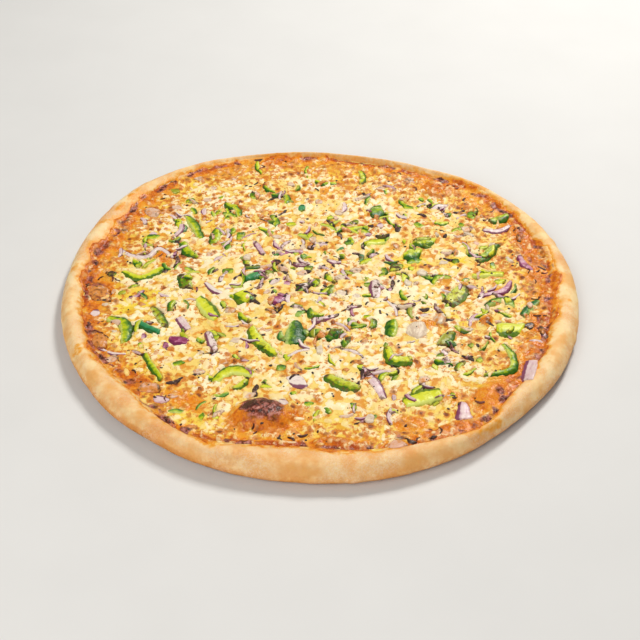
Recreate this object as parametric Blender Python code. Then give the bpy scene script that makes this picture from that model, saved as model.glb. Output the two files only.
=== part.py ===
"""A thin round bbq chicken pizza, 330 mm across, baked and uncut.

One piece of dough with a puffed rim carries a layer of melted cheese. The cheese has
burst blisters near the rim, and the smallest scraps of topping are baked into it. The
larger strips of green pepper, slivers of red onion and pieces of chicken each lie on
the cheese as a piece of their own.

Sizes below are in millimetres; the meshes are in metres. The pizza rests on the
plane z = 0, centred on the origin, with +Z up. Angles are in degrees, anticlockwise
from +X.
"""
import math
import random

import bmesh
import bpy
from mathutils import Vector, noise
from mathutils.bvhtree import BVHTree
from mathutils.geometry import delaunay_2d_cdt

MM = 0.001

# The dough
RADIUS = 162.0
RIM_HEIGHT = 13.0
RIM_WIDTH = 14.0
RIM_UNEVENNESS = 0.8
RIM_LUMP = 34.0
FLOOR = 4.0
FLOOR_TO_RIM = 3.5
SEGMENTS = 120

# The cheese
CHEESE_EDGE = 9.0
CHEESE_TOP = 8.2
CHEESE_EDGE_RUN = 11.0
CHEESE_CELL = 8.0
CHEESE_JITTER = 0.22
BROAD_LUMP = 21.0
BROAD_LUMP_HEIGHT = 1.0
FINE_LUMP = 9.0
FINE_LUMP_HEIGHT = 0.6

# Pieces that rest on each other keep this much air between their meshes
GAP = 0.3
SIDE_GAP = 0.5
SAMPLE_STEP = 1.2

# The placements below are measured from a point just beside the pizza's middle
MIDDLE = (0.5, -3.4)

# Where the stretched dough bulges or falls short: angle, spread, amount
OUTLINE_BULGES = [
    (20, 22, 4.0),
    (46, 12, 2.0),
    (74, 16, -4.5),
    (137, 20, 12.0),
    (184, 14, 1.2),
    (252, 45, -2.5),
    (314, 10, -2.0),
]

# Where the bare rim is wider or narrower: angle, spread, amount
RIM_WIDTH_BULGES = [
    (90, 34, -8.5),
    (151, 10, 4.5),
    (222, 7, 4.0),
    (241, 9, -3.0),
    (265, 13, 8.0),
    (307, 6, -7.0),
    (350, 12, 3.0),
]

# Where the rim puffs up or stays low: angle, spread, amount
RIM_HEIGHT_BULGES = [
    (90, 40, -1.2),
    (265, 24, 1.2),
    (338, 16, 0.7),
    (200, 14, 0.6),
]

# Bubbles and hollows in the cheese: x, y, length, width, turn, height
BLISTERS = [
    (-32, -115, 38, 25, 0, 7.5),
    (101, -99, 26, 20, 50, 4.0),
    (8, -139, 26, 14, 0, 2.2),
    (77, -127, 30, 12, 16, 2.0),
    (87, 109, 30, 24, 0, 2.2),
    (104, -33, 10, 10, 0, 2.4),
    (-112, -12, 26, 20, 0, -0.9),
    (14, 138, 28, 16, 0, 1.4),
    (-108, 104, 22, 14, 20, 1.2),
]

# Pepper: widths at the start, middle and end, then the line that the piece follows
PEPPERS = [
    ((4, 6.5, 6), [(-127, 15), (-115, 9), (-101, 19)]),
    ((7, 10, 7), [(-88, 12), (-84, -3)]),
    ((7, 10.5, 8), [(-76, -11), (-70, -20), (-63, -32)]),
    ((4, 6, 4), [(-104, -20), (-98, -30), (-93, -41)]),
    ((4, 5.5, 5), [(-112, -35), (-104, -41), (-97, -45)]),
    ((6, 8, 5), [(-130, -30), (-119, -37), (-117, -54)]),
    ((3, 4.5, 3), [(-104, -64), (-99, -75), (-92, -86)]),
    ((10, 12, 9), [(-51, -6), (-45, -15)]),
    ((5, 8, 7), [(-47, 7), (-37, 14)]),
    ((4, 13, 11), [(-14, -34), (-14, -46), (-15, -56)]),
    ((6, 8.5, 6), [(-42, -41), (-36, -54), (-24, -66)]),
    ((8, 10, 8), [(6, -46), (15, -46)]),
    ((12, 14, 12), [(109, -42), (125, -42)]),
    ((3.5, 5.5, 4), [(111, -56), (116, -66), (114, -78), (97, -84)]),
    ((3.5, 6.5, 9), [(104, -20), (113, -14), (123, -17)]),
    ((4, 6, 5), [(126, -30), (131, -22), (138, -14)]),
    ((6, 9, 6), [(74, -57), (82, -43)]),
    ((6, 8.5, 5), [(45, -33), (44, -49)]),
    ((5, 8, 9), [(41, -58), (44, -69), (56, -70)]),
    ((8, 13, 5), [(80, -17), (88, -9), (93, 2)]),
    ((3.5, 5, 4), [(73, 2), (77, 11), (85, 9)]),
    ((4, 6, 5), [(99, 11), (109, 13), (120, 14)]),
    ((5, 8, 6), [(119, 45), (112, 34), (104, 26)]),
    ((5, 9, 6), [(-61, -88), (-51, -78), (-38, -82)]),
    ((6, 9.5, 6), [(4, -83), (13, -90), (24, -95)]),
    ((9, 13, 9), [(49, -106), (59, -101), (71, -98)]),
    ((4, 7, 5), [(-91, 79), (-84, 66), (-79, 52)]),
    ((5, 8, 5), [(-91, 48), (-88, 38), (-81, 31)]),
    ((4, 8, 5), [(-69, 64), (-71, 46)]),
    ((6, 10, 8), [(63, 47), (78, 48)]),
    ((6, 11, 8), [(56, 32), (68, 36)]),
    ((4, 7.5, 6), [(116, 71), (124, 73), (131, 78)]),
    ((8, 10, 8), [(35, 80), (45, 84)]),
    ((5, 7.5, 6), [(30, 45), (38, 48), (47, 50)]),
]

# Red onion, in the same way
ONIONS = [
    ((5, 7.5, 5), [(-87, -30), (-80, -42)]),
    ((5, 7.5, 5), [(-91, -50), (-79, -54)]),
    ((4, 6, 4), [(-68, -43), (-62, -62)]),
    ((3, 4.5, 3), [(-73, 5), (-67, -3), (-61, -7)]),
    ((5, 7.5, 5), [(-30, -16), (-22, -10)]),
    ((3, 5, 3), [(-5, -33), (2, -32), (13, -27)]),
    ((5, 8, 5), [(36, 7), (36, -11)]),
    ((2.5, 5, 2.5), [(124, 6), (118, -4), (104, -9)]),
    ((3.5, 5.5, 4), [(132, 33), (134, 24), (139, 16)]),
    ((7, 8.5, 7), [(127, -70), (121, -90)]),
    ((3.5, 6.5, 4), [(27, -77), (34, -91), (38, -102)]),
    ((7, 12, 7), [(-18, -87), (-7, -89)]),
    ((3, 4.5, 3), [(-131, 39), (-123, 33), (-113, 32), (-106, 41), (-96, 31)]),
    ((3, 4.5, 3), [(-43, 49), (-40, 42), (-36, 34)]),
    ((4, 5.5, 3), [(-26, 34), (-18, 38), (-10, 38)]),
    ((3, 5, 3), [(131, 67), (121, 60), (111, 62)]),
    ((4, 8, 12), [(83, -105), (82, -119)]),
]

# Chicken, in the same way
CHICKEN = [
    ((9, 14, 10), [(-142, 0), (-136, -14)]),
    ((6, 9, 5), [(-134, -47), (-131, -59)]),
    ((7, 9, 6), [(-104, -93), (-92, -93)]),
    ((6, 10, 7), [(-119, 86), (-110, 79)]),
    ((9, 14, 7), [(61, -35), (59, -50)]),
    ((4, 8, 5), [(76, -27), (74, -37)]),
    ((6, 10, 5), [(39, -141), (48, -139)]),
]

# Scraps baked into the cheese: x, y, length, width, turn
SCRAPS = [
    (-134, 13, 7, 5, 10),
    (-92, -19, 11, 4, 85),
    (-83, -73, 9, 5, 20),
    (-81, -113, 9, 4, 0),
    (-20, 4, 7, 6, 0),
    (-59, 16, 9, 7, 20),
    (-46, -30, 11, 5, 130),
    (-3, -45, 4, 8, 0),
    (4, -5, 9, 4, 50),
    (-14, -20, 8, 4, 0),
    (-123, -69, 9, 6, 60),
    (-22, -76, 7, 5, 0),
    (-66, -117, 4, 7, 0),
    (-58, -117, 5, 6, 0),
    (-6, -107, 9, 5, 10),
    (20, -108, 5, 6, 0),
    (-30, -92, 7, 4, 0),
    (29, -119, 6, 8, 0),
    (84, -75, 11, 4, 60),
    (-102, 108, 11, 7, 0),
    (-90, 96, 8, 6, 20),
    (-112, 53, 11, 6, 10),
    (-118, 24, 5, 6, 0),
    (-43, 138, 4, 15, 15),
    (-8, 133, 3, 15, 0),
    (5, 119, 16, 5, -10),
    (30, 126, 5, 18, 0),
    (-35, 111, 12, 4, -45),
    (-46, 102, 6, 8, 0),
    (-23, 98, 5, 11, 0),
    (-12, 87, 6, 8, 0),
    (-57, 84, 5, 13, 20),
    (-30, 71, 5, 12, 0),
    (-19, 68, 8, 5, 0),
    (-52, 55, 7, 11, 0),
    (20, 46, 8, 8, 0),
    (21, 62, 14, 4, -35),
    (68, 67, 10, 8, 0),
    (84, 70, 10, 5, 0),
    (105, 78, 6, 10, 0),
    (51, 20, 12, 8, 30),
    (90, 36, 7, 7, 0),
    (28, 31, 5, 9, 0),
    (55, 10, 5, 10, 0),
    (-95, 62, 4, 14, -15),
    (-62, 58, 3, 13, 0),
    (-28, 27, 7, 6, 0),
    (39, 66, 11, 6, 20),
    (71, 79, 8, 6, 0),
    (97, 83, 10, 4, 0),
    (46, -21, 4, 16, 20),
    (66, -22, 9, 6, 0),
    (76, -70, 6, 8, 0),
    (96, -32, 4, 14, -25),
    (14, 10, 7, 7, 0),
    (14, -7, 7, 8, 0),
    (24, 17, 8, 6, 0),
    (1, -60, 6, 10, 0),
    (-11, 14, 8, 6, 0),
    (-47, 30, 6, 6, 0),
    (-40, -100, 8, 5, 30),
    (-98, 88, 8, 6, 0),
    (0, 95, 7, 5, 0),
    (60, 98, 8, 5, 30),
    (-75, 112, 7, 6, 0),
    (50, 128, 7, 6, 0),
    (28, -53, 9, 5, 70),
    (-70, -80, 8, 5, 10),
    (-84, -100, 8, 5, 0),
    (136, -43, 5, 8, 0),
    (134, 52, 5, 9, 0),
    (-139, -26, 6, 7, 0),
    (-57, -71, 8, 6, 20),
    (24, -10, 6, 7, 0),
    (57, 5, 6, 6, 0),
    (67, 13, 8, 6, 0),
    (-23, 20, 9, 4, -40),
    (18, -62, 13, 4, -20),
    (41, -117, 4, 11, 0),
    (114, 22, 5, 8, 0),
    (98, 41, 4, 12, 10),
    (57, 78, 10, 4, -45),
    (84, 88, 12, 5, 20),
    (53, 64, 5, 8, 0),
    (-55, -24, 8, 6, 0),
    (62, -86, 9, 6, 20),
    (-61, 125, 8, 6, 0),
    (-20, 117, 7, 5, 0),
    (44, 111, 8, 6, 30),
    (-86, 124, 8, 6, 0),
    (28, 98, 7, 6, 0),
    (14, 82, 7, 6, 0),
    (-78, 97, 7, 6, 0),
    (100, 62, 7, 6, 0),
    (-131, 60, 6, 8, 0),
    (-28, 54, 7, 5, 0),
    (-4, 51, 5, 8, 0),
    (-51, -52, 8, 6, 0),
    (64, 122, 8, 6, 0),
    (-72, 34, 8, 5, 20),
    (82, 26, 8, 6, 0),
]
SCRAP_SIDES = 5
SCRAP_HEIGHT = 1.5
SCRAP_ROOT = 1.6
SCRAP_UNEVENNESS = 0.16

# The loose toppings: thickness at the sides, what the middle adds, and how far the
# sides of the top draw in
PEPPER_THICKNESS = 2.4
PEPPER_CROWN = 0.5
ONION_THICKNESS = 1.4
ONION_CROWN = 0.3
CHICKEN_THICKNESS = 3.0
CHICKEN_CROWN = 1.0
TOP_INSET = 0.82
STATION_STEP = 4.5
FEWEST_STATIONS = 4
MOST_STATIONS = 9
LOOK_AHEAD = 0.02
FAR_ABOVE = 60.0


def clear_scene():
    for old in list(bpy.data.objects):
        bpy.data.objects.remove(old, do_unlink=True)


def food_material(name, colour, roughness):
    material = bpy.data.materials.new(name)
    material.use_nodes = True
    shader = material.node_tree.nodes["Principled BSDF"]
    shader.inputs["Base Color"].default_value = (*colour, 1.0)
    shader.inputs["Roughness"].default_value = roughness
    shader.inputs["Metallic"].default_value = 0.0
    return material


def new_object(name, bm, material):
    """Turn a mesh drawn in millimetres into a named object in metres."""
    bmesh.ops.recalc_face_normals(bm, faces=bm.faces)
    bmesh.ops.triangulate(bm, faces=bm.faces)
    bmesh.ops.scale(bm, vec=(MM, MM, MM), verts=bm.verts)
    mesh = bpy.data.meshes.new(name)
    bm.to_mesh(mesh)
    bm.free()
    mesh.materials.append(material)
    mesh.shade_smooth()
    obj = bpy.data.objects.new(name, mesh)
    bpy.context.scene.collection.objects.link(obj)
    return obj


def bridge(bm, lower, upper):
    """Join two rings of vertices, both anticlockwise seen from above."""
    count = len(lower)
    for k in range(count):
        after = (k + 1) % count
        bm.faces.new((lower[k], lower[after], upper[after], upper[k]))


def bulged(base, bulges, angle):
    value = base
    for centre, spread, amount in bulges:
        away = (angle - centre + 180.0) % 360.0 - 180.0
        value += amount * math.exp(-0.5 * (away / spread) ** 2)
    return value


def around(angle, stretch, layer):
    """Smooth unevenness from -1 to 1 that closes on itself round the rim."""
    turn = math.radians(angle)
    reach = RADIUS / stretch
    return noise.noise(Vector((reach * math.cos(turn), reach * math.sin(turn), layer)))


def outline_radius(angle):
    return bulged(RADIUS, OUTLINE_BULGES, angle) + RIM_UNEVENNESS * around(angle, RIM_LUMP, 0.4)


def rim_width(angle):
    return bulged(RIM_WIDTH, RIM_WIDTH_BULGES, angle) + RIM_UNEVENNESS * around(angle, RIM_LUMP, 4.7)


def rim_height(angle):
    return bulged(RIM_HEIGHT, RIM_HEIGHT_BULGES, angle) + RIM_UNEVENNESS * around(angle, RIM_LUMP, 9.2)


def inner_radius(angle):
    """Where the bare rim ends and the cheese begins."""
    return outline_radius(angle) - rim_width(angle)


def polar_point(angle, radius, height):
    turn = math.radians(angle)
    return Vector((radius * math.cos(turn), radius * math.sin(turn), height))


def rim_profile(angle):
    """The dough's section from the edge of its flat underside, over the rim, to its floor."""
    outer = outline_radius(angle)
    width = rim_width(angle)
    height = rim_height(angle)
    return [
        (outer - 9.0, 0.0),
        (outer - 3.6, 1.0),
        (outer - 0.8, 3.4),
        (outer, 6.2),
        (outer - 0.10 * width, 9.4),
        (outer - 0.30 * width, height - 1.0),
        (outer - 0.55 * width, height),
        (outer - 0.82 * width, height - 1.7),
        (outer - width, CHEESE_EDGE),
        (outer - width - FLOOR_TO_RIM, FLOOR),
    ]


def make_crust(material):
    bm = bmesh.new()
    angles = [360.0 * k / SEGMENTS for k in range(SEGMENTS)]
    profiles = [rim_profile(angle) for angle in angles]
    rings = []
    for level in range(len(profiles[0])):
        ring = []
        for angle, profile in zip(angles, profiles):
            radius, height = profile[level]
            ring.append(bm.verts.new(polar_point(angle, radius, height)))
        rings.append(ring)
    for lower, upper in zip(rings, rings[1:]):
        bridge(bm, lower, upper)
    bm.faces.new(list(reversed(rings[0])))
    bm.faces.new(rings[-1])
    return new_object("crust", bm, material)


def cheese_height(x, y):
    """The cheese's top at a place: lumps, blisters, and a rise where it meets the rim."""
    broad = noise.noise(Vector((x / BROAD_LUMP, y / BROAD_LUMP, 2.3)))
    fine = noise.noise(Vector((x / FINE_LUMP, y / FINE_LUMP, 7.1)))
    height = CHEESE_TOP + BROAD_LUMP_HEIGHT * broad + FINE_LUMP_HEIGHT * fine
    for bx, by, length, width, turn, rise in BLISTERS:
        dx = x - (bx - MIDDLE[0])
        dy = y - (by - MIDDLE[1])
        cosine = math.cos(math.radians(turn))
        sine = math.sin(math.radians(turn))
        along = (dx * cosine + dy * sine) / (0.5 * length)
        across = (dy * cosine - dx * sine) / (0.5 * width)
        inside = 1.0 - along * along - across * across
        if inside > 0.0:
            height += rise * inside ** 0.7
    angle = math.degrees(math.atan2(y, x)) % 360.0
    to_edge = inner_radius(angle) - SIDE_GAP - math.hypot(x, y)
    share = min(1.0, max(0.0, to_edge / CHEESE_EDGE_RUN))
    share = share * share * (3.0 - 2.0 * share)
    return CHEESE_EDGE + (height - CHEESE_EDGE) * share


def cheese_points(edge):
    """The rim of the cheese, then uneven rows of points inside it."""
    points = list(edge)
    draw = random.Random(11)
    row_step = CHEESE_CELL * math.sqrt(3.0) / 2.0
    rows = int(2.2 * RADIUS / row_step)
    for row in range(rows):
        for column in range(rows):
            x = (column - rows / 2 + 0.5 * (row % 2)) * CHEESE_CELL
            y = (row - rows / 2) * row_step
            x += draw.uniform(-CHEESE_JITTER, CHEESE_JITTER) * CHEESE_CELL
            y += draw.uniform(-CHEESE_JITTER, CHEESE_JITTER) * CHEESE_CELL
            angle = math.degrees(math.atan2(y, x)) % 360.0
            if math.hypot(x, y) < inner_radius(angle) - 0.6 * CHEESE_CELL:
                points.append(Vector((x, y)))
    return points


def make_cheese_layer(material):
    """The bare layer of cheese, which stands just clear of the dough's floor and rim."""
    angles = [360.0 * k / SEGMENTS for k in range(SEGMENTS)]
    edge = [polar_point(a, inner_radius(a) - SIDE_GAP, 0.0).to_2d() for a in angles]
    points = cheese_points(edge)
    loop = [(k, (k + 1) % SEGMENTS) for k in range(SEGMENTS)]
    flat, _, faces, _, _, _ = delaunay_2d_cdt(points, loop, [], 1, 1e-5)
    bm = bmesh.new()
    top = [bm.verts.new((p.x, p.y, cheese_height(p.x, p.y))) for p in flat]
    for face in faces:
        bm.faces.new([top[k] for k in face])
    bottom = []
    foot = FLOOR_TO_RIM * (1.0 - GAP / (CHEESE_EDGE - FLOOR))
    for angle in angles:
        bottom.append(bm.verts.new(polar_point(angle, inner_radius(angle) - SIDE_GAP - foot, FLOOR + GAP)))
    bridge(bm, bottom, top[:SEGMENTS])
    bm.faces.new(list(reversed(bottom)))
    return new_object("cheese", bm, material)


def make_scrap(spot, draw, material):
    """A small uneven chip, rooted in the cheese and rounded on top."""
    x, y, length, width, turn = spot
    x -= MIDDLE[0]
    y -= MIDDLE[1]
    cosine = math.cos(math.radians(turn))
    sine = math.sin(math.radians(turn))
    surface = cheese_height(x, y)
    levels = [
        (0.9, surface - SCRAP_ROOT),
        (1.0, surface + 0.55 * SCRAP_HEIGHT),
        (0.6, surface + SCRAP_HEIGHT),
    ]
    sides = []
    for k in range(SCRAP_SIDES):
        corner = math.tau * (k + draw.uniform(-SCRAP_UNEVENNESS, SCRAP_UNEVENNESS)) / SCRAP_SIDES
        along = 0.5 * length * math.cos(corner)
        across = 0.5 * width * math.sin(corner)
        sides.append((along * cosine - across * sine, along * sine + across * cosine))
    bm = bmesh.new()
    rings = []
    for share, height in levels:
        rings.append([bm.verts.new((x + share * sx, y + share * sy, height)) for sx, sy in sides])
    for lower, upper in zip(rings, rings[1:]):
        bridge(bm, lower, upper)
    bm.faces.new(list(reversed(rings[0])))
    bm.faces.new(rings[-1])
    return new_object("scrap", bm, material)


def bake_in_scraps(cheese, material):
    """Fuse the scraps to the cheese, so that the layer stays one closed body."""
    draw = random.Random(23)
    scraps = bpy.data.collections.new("scraps")
    bpy.context.scene.collection.children.link(scraps)
    for spot in SCRAPS:
        scrap = make_scrap(spot, draw, material)
        bpy.context.scene.collection.objects.unlink(scrap)
        scraps.objects.link(scrap)
    union = cheese.modifiers.new("scraps", "BOOLEAN")
    union.operation = "UNION"
    union.operand_type = "COLLECTION"
    union.collection = scraps
    union.solver = "EXACT"
    bpy.context.view_layer.update()
    shape = cheese.evaluated_get(bpy.context.evaluated_depsgraph_get())
    fused = bpy.data.meshes.new_from_object(shape)
    cheese.modifiers.clear()
    cheese.data = fused
    for scrap in list(scraps.objects):
        bpy.data.objects.remove(scrap, do_unlink=True)
    bpy.data.collections.remove(scraps)


def surface_tree(obj):
    """A tree of an object's faces, in millimetres, to find what lies under a point."""
    points = [obj.matrix_world @ v.co / MM for v in obj.data.vertices]
    return BVHTree.FromPolygons(points, [list(p.vertices) for p in obj.data.polygons])


def height_under(trees, x, y):
    """The highest surface at a place among what has been laid so far."""
    heights = []
    for tree in trees:
        hit = tree.ray_cast(Vector((x, y, FAR_ABOVE)), Vector((0.0, 0.0, -1.0)))[0]
        if hit is not None:
            heights.append(hit.z)
    return max(heights)


def smooth_line(points, share):
    """A point on a curve that passes through the given points, from share 0 to 1."""
    spans = len(points) - 1
    span = min(int(share * spans), spans - 1)
    t = share * spans - span
    p1 = Vector(points[span])
    p2 = Vector(points[span + 1])
    p0 = Vector(points[span - 1]) if span > 0 else 2 * p1 - p2
    p3 = Vector(points[span + 2]) if span + 2 <= spans else 2 * p2 - p1
    return 0.5 * (
        2 * p1
        + (p2 - p0) * t
        + (2 * p0 - 5 * p1 + 4 * p2 - p3) * t * t
        + (3 * p1 - p0 - 3 * p2 + p3) * t ** 3
    )


def piece_stations(widths, line):
    """Centre, sideways direction and half width at each step along a piece."""
    points = [(x - MIDDLE[0], y - MIDDLE[1]) for x, y in line]
    length = sum((Vector(b) - Vector(a)).length for a, b in zip(points, points[1:]))
    count = max(FEWEST_STATIONS, min(MOST_STATIONS, round(length / STATION_STEP) + 1))
    start, middle, end = widths
    stations = []
    for k in range(count):
        share = k / (count - 1)
        centre = smooth_line(points, share)
        before = smooth_line(points, max(0.0, share - LOOK_AHEAD))
        after = smooth_line(points, min(1.0, share + LOOK_AHEAD))
        ahead = (after - before).normalized()
        if share < 0.5:
            width = start + (middle - start) * math.sin(math.pi * share)
        else:
            width = end + (middle - end) * math.sin(math.pi * share)
        stations.append((centre, Vector((-ahead.y, ahead.x)), 0.5 * width))
    return stations


def clearance(faces, trees):
    """The least height of a set of faces over what lies below them."""
    least = 1000.0
    for face in faces:
        a, b, c = (v.co for v in face.verts)
        steps = max(2, math.ceil(max((a - b).length, (b - c).length, (c - a).length) / SAMPLE_STEP))
        for i in range(steps + 1):
            for j in range(steps + 1 - i):
                spot = a + (b - a) * (i / steps) + (c - a) * (j / steps)
                least = min(least, spot.z - height_under(trees, spot.x, spot.y))
    return least


def make_topping(name, widths, line, thickness, crown, material, trees):
    """A soft piece that follows the cheese below it, thickest along its middle."""
    bm = bmesh.new()
    rings = []
    for centre, sideways, half in piece_stations(widths, line):
        low = []
        for side in (-1, 0, 1):
            spot = centre + sideways * (half * side)
            low.append(Vector((spot.x, spot.y, height_under(trees, spot.x, spot.y) + GAP)))
        middle = 0.25 * low[0].z + 0.5 * low[1].z + 0.25 * low[2].z
        for point in low:
            point.z = 0.5 * (point.z + middle)
        high = []
        for side, point in zip((1, 0, -1), reversed(low)):
            inset = centre + sideways * (TOP_INSET * half * side)
            high.append(Vector((inset.x, inset.y, point.z + thickness + (crown if side == 0 else 0.0))))
        rings.append([bm.verts.new(p) for p in low + high])
    for near, far in zip(rings, rings[1:]):
        bridge(bm, near, far)
    bm.faces.new(list(reversed(rings[0])))
    bm.faces.new(rings[-1])
    bmesh.ops.triangulate(bm, faces=bm.faces)
    bmesh.ops.recalc_face_normals(bm, faces=bm.faces)
    bm.faces.ensure_lookup_table()
    under = [f for f in bm.faces if f.normal.z < 0.0]
    lift = GAP - clearance(under, trees)
    bmesh.ops.translate(bm, vec=(0.0, 0.0, lift), verts=bm.verts)
    return new_object(name, bm, material)


def lay_toppings(kind, pieces, thickness, crown, material, trees):
    for number, (widths, line) in enumerate(pieces, 1):
        piece = make_topping(f"{kind}_{number:02d}", widths, line, thickness, crown, material, trees)
        trees.append(surface_tree(piece))


clear_scene()
dough = food_material("crust", (0.80, 0.60, 0.36), 0.75)
melted_cheese = food_material("cheese", (0.90, 0.74, 0.38), 0.5)
green_pepper = food_material("green_pepper", (0.30, 0.46, 0.06), 0.35)
red_onion = food_material("red_onion", (0.52, 0.20, 0.36), 0.4)
roast_chicken = food_material("chicken", (0.78, 0.58, 0.42), 0.6)

crust = make_crust(dough)
cheese = make_cheese_layer(melted_cheese)
bake_in_scraps(cheese, melted_cheese)
laid = [surface_tree(crust), surface_tree(cheese)]
lay_toppings("pepper", PEPPERS, PEPPER_THICKNESS, PEPPER_CROWN, green_pepper, laid)
lay_toppings("onion", ONIONS, ONION_THICKNESS, ONION_CROWN, red_onion, laid)
lay_toppings("chicken", CHICKEN, CHICKEN_THICKNESS, CHICKEN_CROWN, roast_chicken, laid)
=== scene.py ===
import math
import random

import bpy
import numpy as np
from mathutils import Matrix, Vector, noise
from mathutils.bvhtree import BVHTree


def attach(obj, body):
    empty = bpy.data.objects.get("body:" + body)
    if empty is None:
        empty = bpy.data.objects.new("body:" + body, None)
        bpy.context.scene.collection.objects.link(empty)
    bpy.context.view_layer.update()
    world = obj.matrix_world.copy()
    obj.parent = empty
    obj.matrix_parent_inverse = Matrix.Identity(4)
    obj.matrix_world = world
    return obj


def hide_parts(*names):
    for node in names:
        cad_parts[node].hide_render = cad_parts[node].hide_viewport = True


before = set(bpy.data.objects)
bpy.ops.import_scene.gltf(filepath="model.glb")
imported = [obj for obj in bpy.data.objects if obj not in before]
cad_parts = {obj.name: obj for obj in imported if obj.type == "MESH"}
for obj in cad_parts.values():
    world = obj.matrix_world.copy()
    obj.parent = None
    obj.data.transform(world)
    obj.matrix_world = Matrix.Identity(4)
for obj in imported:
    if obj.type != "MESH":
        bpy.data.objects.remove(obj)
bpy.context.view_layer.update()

# The dough
# A disc of stretched wheat dough whose rim puffed up in the oven. It is pale and floury on
# top, blushed where it caught the heat and toasted brown round its underside; oil from the
# sauce has crept onto the rim. Sizes are in millimetres and angles in degrees.
MM = 0.001
RADIUS = 162.0
RIM_HEIGHT = 13.0
RIM_WIDTH = 14.0
RIM_UNEVENNESS = 0.8
RIM_LUMP = 34.0
FLOOR = 4.0
FLOOR_TO_RIM = 3.5
CHEESE_EDGE = 9.0
GAP = 0.3
SIDE_GAP = 0.5

# The photo's placements are measured from a point just beside the pizza's middle
MIDDLE = (0.5, -3.4)

# Where the outline bulges, the bare rim widens and the rim puffs up: angle, spread, amount
OUTLINE_BULGES = [
    (20, 22, 4.0),
    (46, 12, 2.0),
    (74, 16, -4.5),
    (137, 20, 12.0),
    (184, 14, 1.2),
    (252, 45, -2.5),
    (314, 10, -2.0),
]
RIM_WIDTH_BULGES = [
    (90, 34, -8.5),
    (151, 10, 4.5),
    (222, 7, 4.0),
    (241, 9, -3.0),
    (265, 13, 8.0),
    (307, 6, -7.0),
    (350, 12, 3.0),
]
RIM_HEIGHT_BULGES = [
    (90, 40, -1.2),
    (265, 24, 1.2),
    (338, 16, 0.7),
    (200, 14, 0.6),
]

# Tongues of oily sauce and cheese on the rim: x, y, length, width, turn
RIM_DRIPS = [
    (-158, 15, 7, 12, 10),
    (-145, 68, 13, 6, 20),
    (-150, 39, 11, 6, -50),
    (-144, -64, 10, 9, 10),
    (-57, -136, 15, 5, -25),
    (-92, -122, 4, 4, 0),
    (152, 6, 17, 6, 8),
    (148, 16, 12, 8, 0),
    (144, -25, 17, 5, -40),
    (150, 39, 9, 7, 0),
    (157, -18, 5, 4, 60),
    (99, -127, 16, 7, 35),
    (119, 117, 20, 12, -40),
    (-128, 100, 22, 7, 60),
    (-137, 84, 12, 6, 60),
]
# Floury nubs and small burst bubbles on the rim: x, y, size, height
RIM_NUBS = [
    (-143, -85, 5, 0.9),
    (-140, -89, 4, 0.7),
    (131, -101, 5, 0.8),
    (-118, -119, 6, 0.6),
    (20, -163, 9, 0.5),
    (-60, -158, 12, 0.6),
    (155, -48, 9, 0.6),
    (158, 48, 7, 0.5),
]
# Browner or pinker patches of the rim: x, y, length, width, turn, strength
RIM_BLUSHES = [
    (-89, -133, 20, 14, -30, 0.9),
    (-120, -104, 18, 10, -40, 0.6),
    (-20, -156, 26, 9, 0, 0.5),
    (40, -158, 30, 10, 5, 0.6),
    (95, -132, 22, 9, 40, 0.5),
    (152, -30, 10, 26, 0, 0.4),
    (-152, -40, 9, 26, 0, 0.4),
    (-156, 40, 9, 24, 0, 0.4),
]
# Where toast creeps up from under the rim, where its outer face is browner, where its back
# is lightly toasted and where its top is warmer: angle, spread, amount
TOASTED_SIDES = [(228, 24, 0.6), (322, 20, 0.5), (20, 15, 0.3)]
BROWNER_SIDES = [(226, 22, 0.85), (290, 30, 0.45), (345, 16, 0.4)]
TOASTED_BACK = [(90, 35, 0.12)]
WARM_SIDES = [(90, 35, 0.45), (245, 30, 0.4), (297, 28, 0.5)]
# Tongues of melted cheese and oil that ran onto the rim: angle, spread, length
SPILLED_TONGUES = [
    (3.5, 3.0, 4.5),
    (14.5, 2.0, 3.5),
    (40, 8.0, 1.5),
    (90, 36.0, -1.6),
    (152, 2.5, 3.0),
    (165, 2.5, 3.0),
    (176, 2.5, 3.0),
    (204, 2.5, 4.0),
    (247, 2.2, 4.5),
    (263, 12.0, 3.0),
    (281, 6.0, 2.0),
    (303, 5.0, 1.5),
    (351, 3.0, 4.0),
]
# Points round the rim, and rows between one level of its section and the next
RIM_ANGLES = 760
RIM_STEPS = 8
# Rays that look for a surface start this high; nothing reaches higher than the box allows
FAR_ABOVE = 60.0
TALLEST = 16.1


def lumps(x, y, z, size):
    """Smooth unevenness from -1 to 1 at each place, in lumps about that many mm across."""
    places = np.broadcast_arrays(x, y, z)
    rows = zip(*(place.ravel() for place in places))
    values = [noise.noise(Vector((a / size, b / size, c / size))) for a, b, c in rows]
    return np.array(values).reshape(places[0].shape)


def bulged(base, bulges, angles):
    """A value round the pizza, raised or lowered in soft bulges at some angles."""
    total = np.full_like(angles, base, dtype=float)
    for centre, spread, amount in bulges:
        away = (angles - centre + 180.0) % 360.0 - 180.0
        total += amount * np.exp(-0.5 * (away / spread) ** 2)
    return total


def around_rim(angles, layer):
    """Broad unevenness round the rim, with another pattern for each layer."""
    turn = np.radians(angles)
    return lumps(RADIUS * np.cos(turn), RADIUS * np.sin(turn), layer * RIM_LUMP, RIM_LUMP)


def outline_radius(angles):
    """How far out the dough reaches."""
    return bulged(RADIUS, OUTLINE_BULGES, angles) + RIM_UNEVENNESS * around_rim(angles, 0.4)


def rim_width(angles):
    """How wide the bare rim is."""
    return bulged(RIM_WIDTH, RIM_WIDTH_BULGES, angles) + RIM_UNEVENNESS * around_rim(angles, 4.7)


def rim_height(angles):
    """How high the rim puffed up."""
    return bulged(RIM_HEIGHT, RIM_HEIGHT_BULGES, angles) + RIM_UNEVENNESS * around_rim(angles, 9.2)


def inner_radius(angles):
    """Where the rim ends and the cheese begins."""
    return outline_radius(angles) - rim_width(angles)


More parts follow.
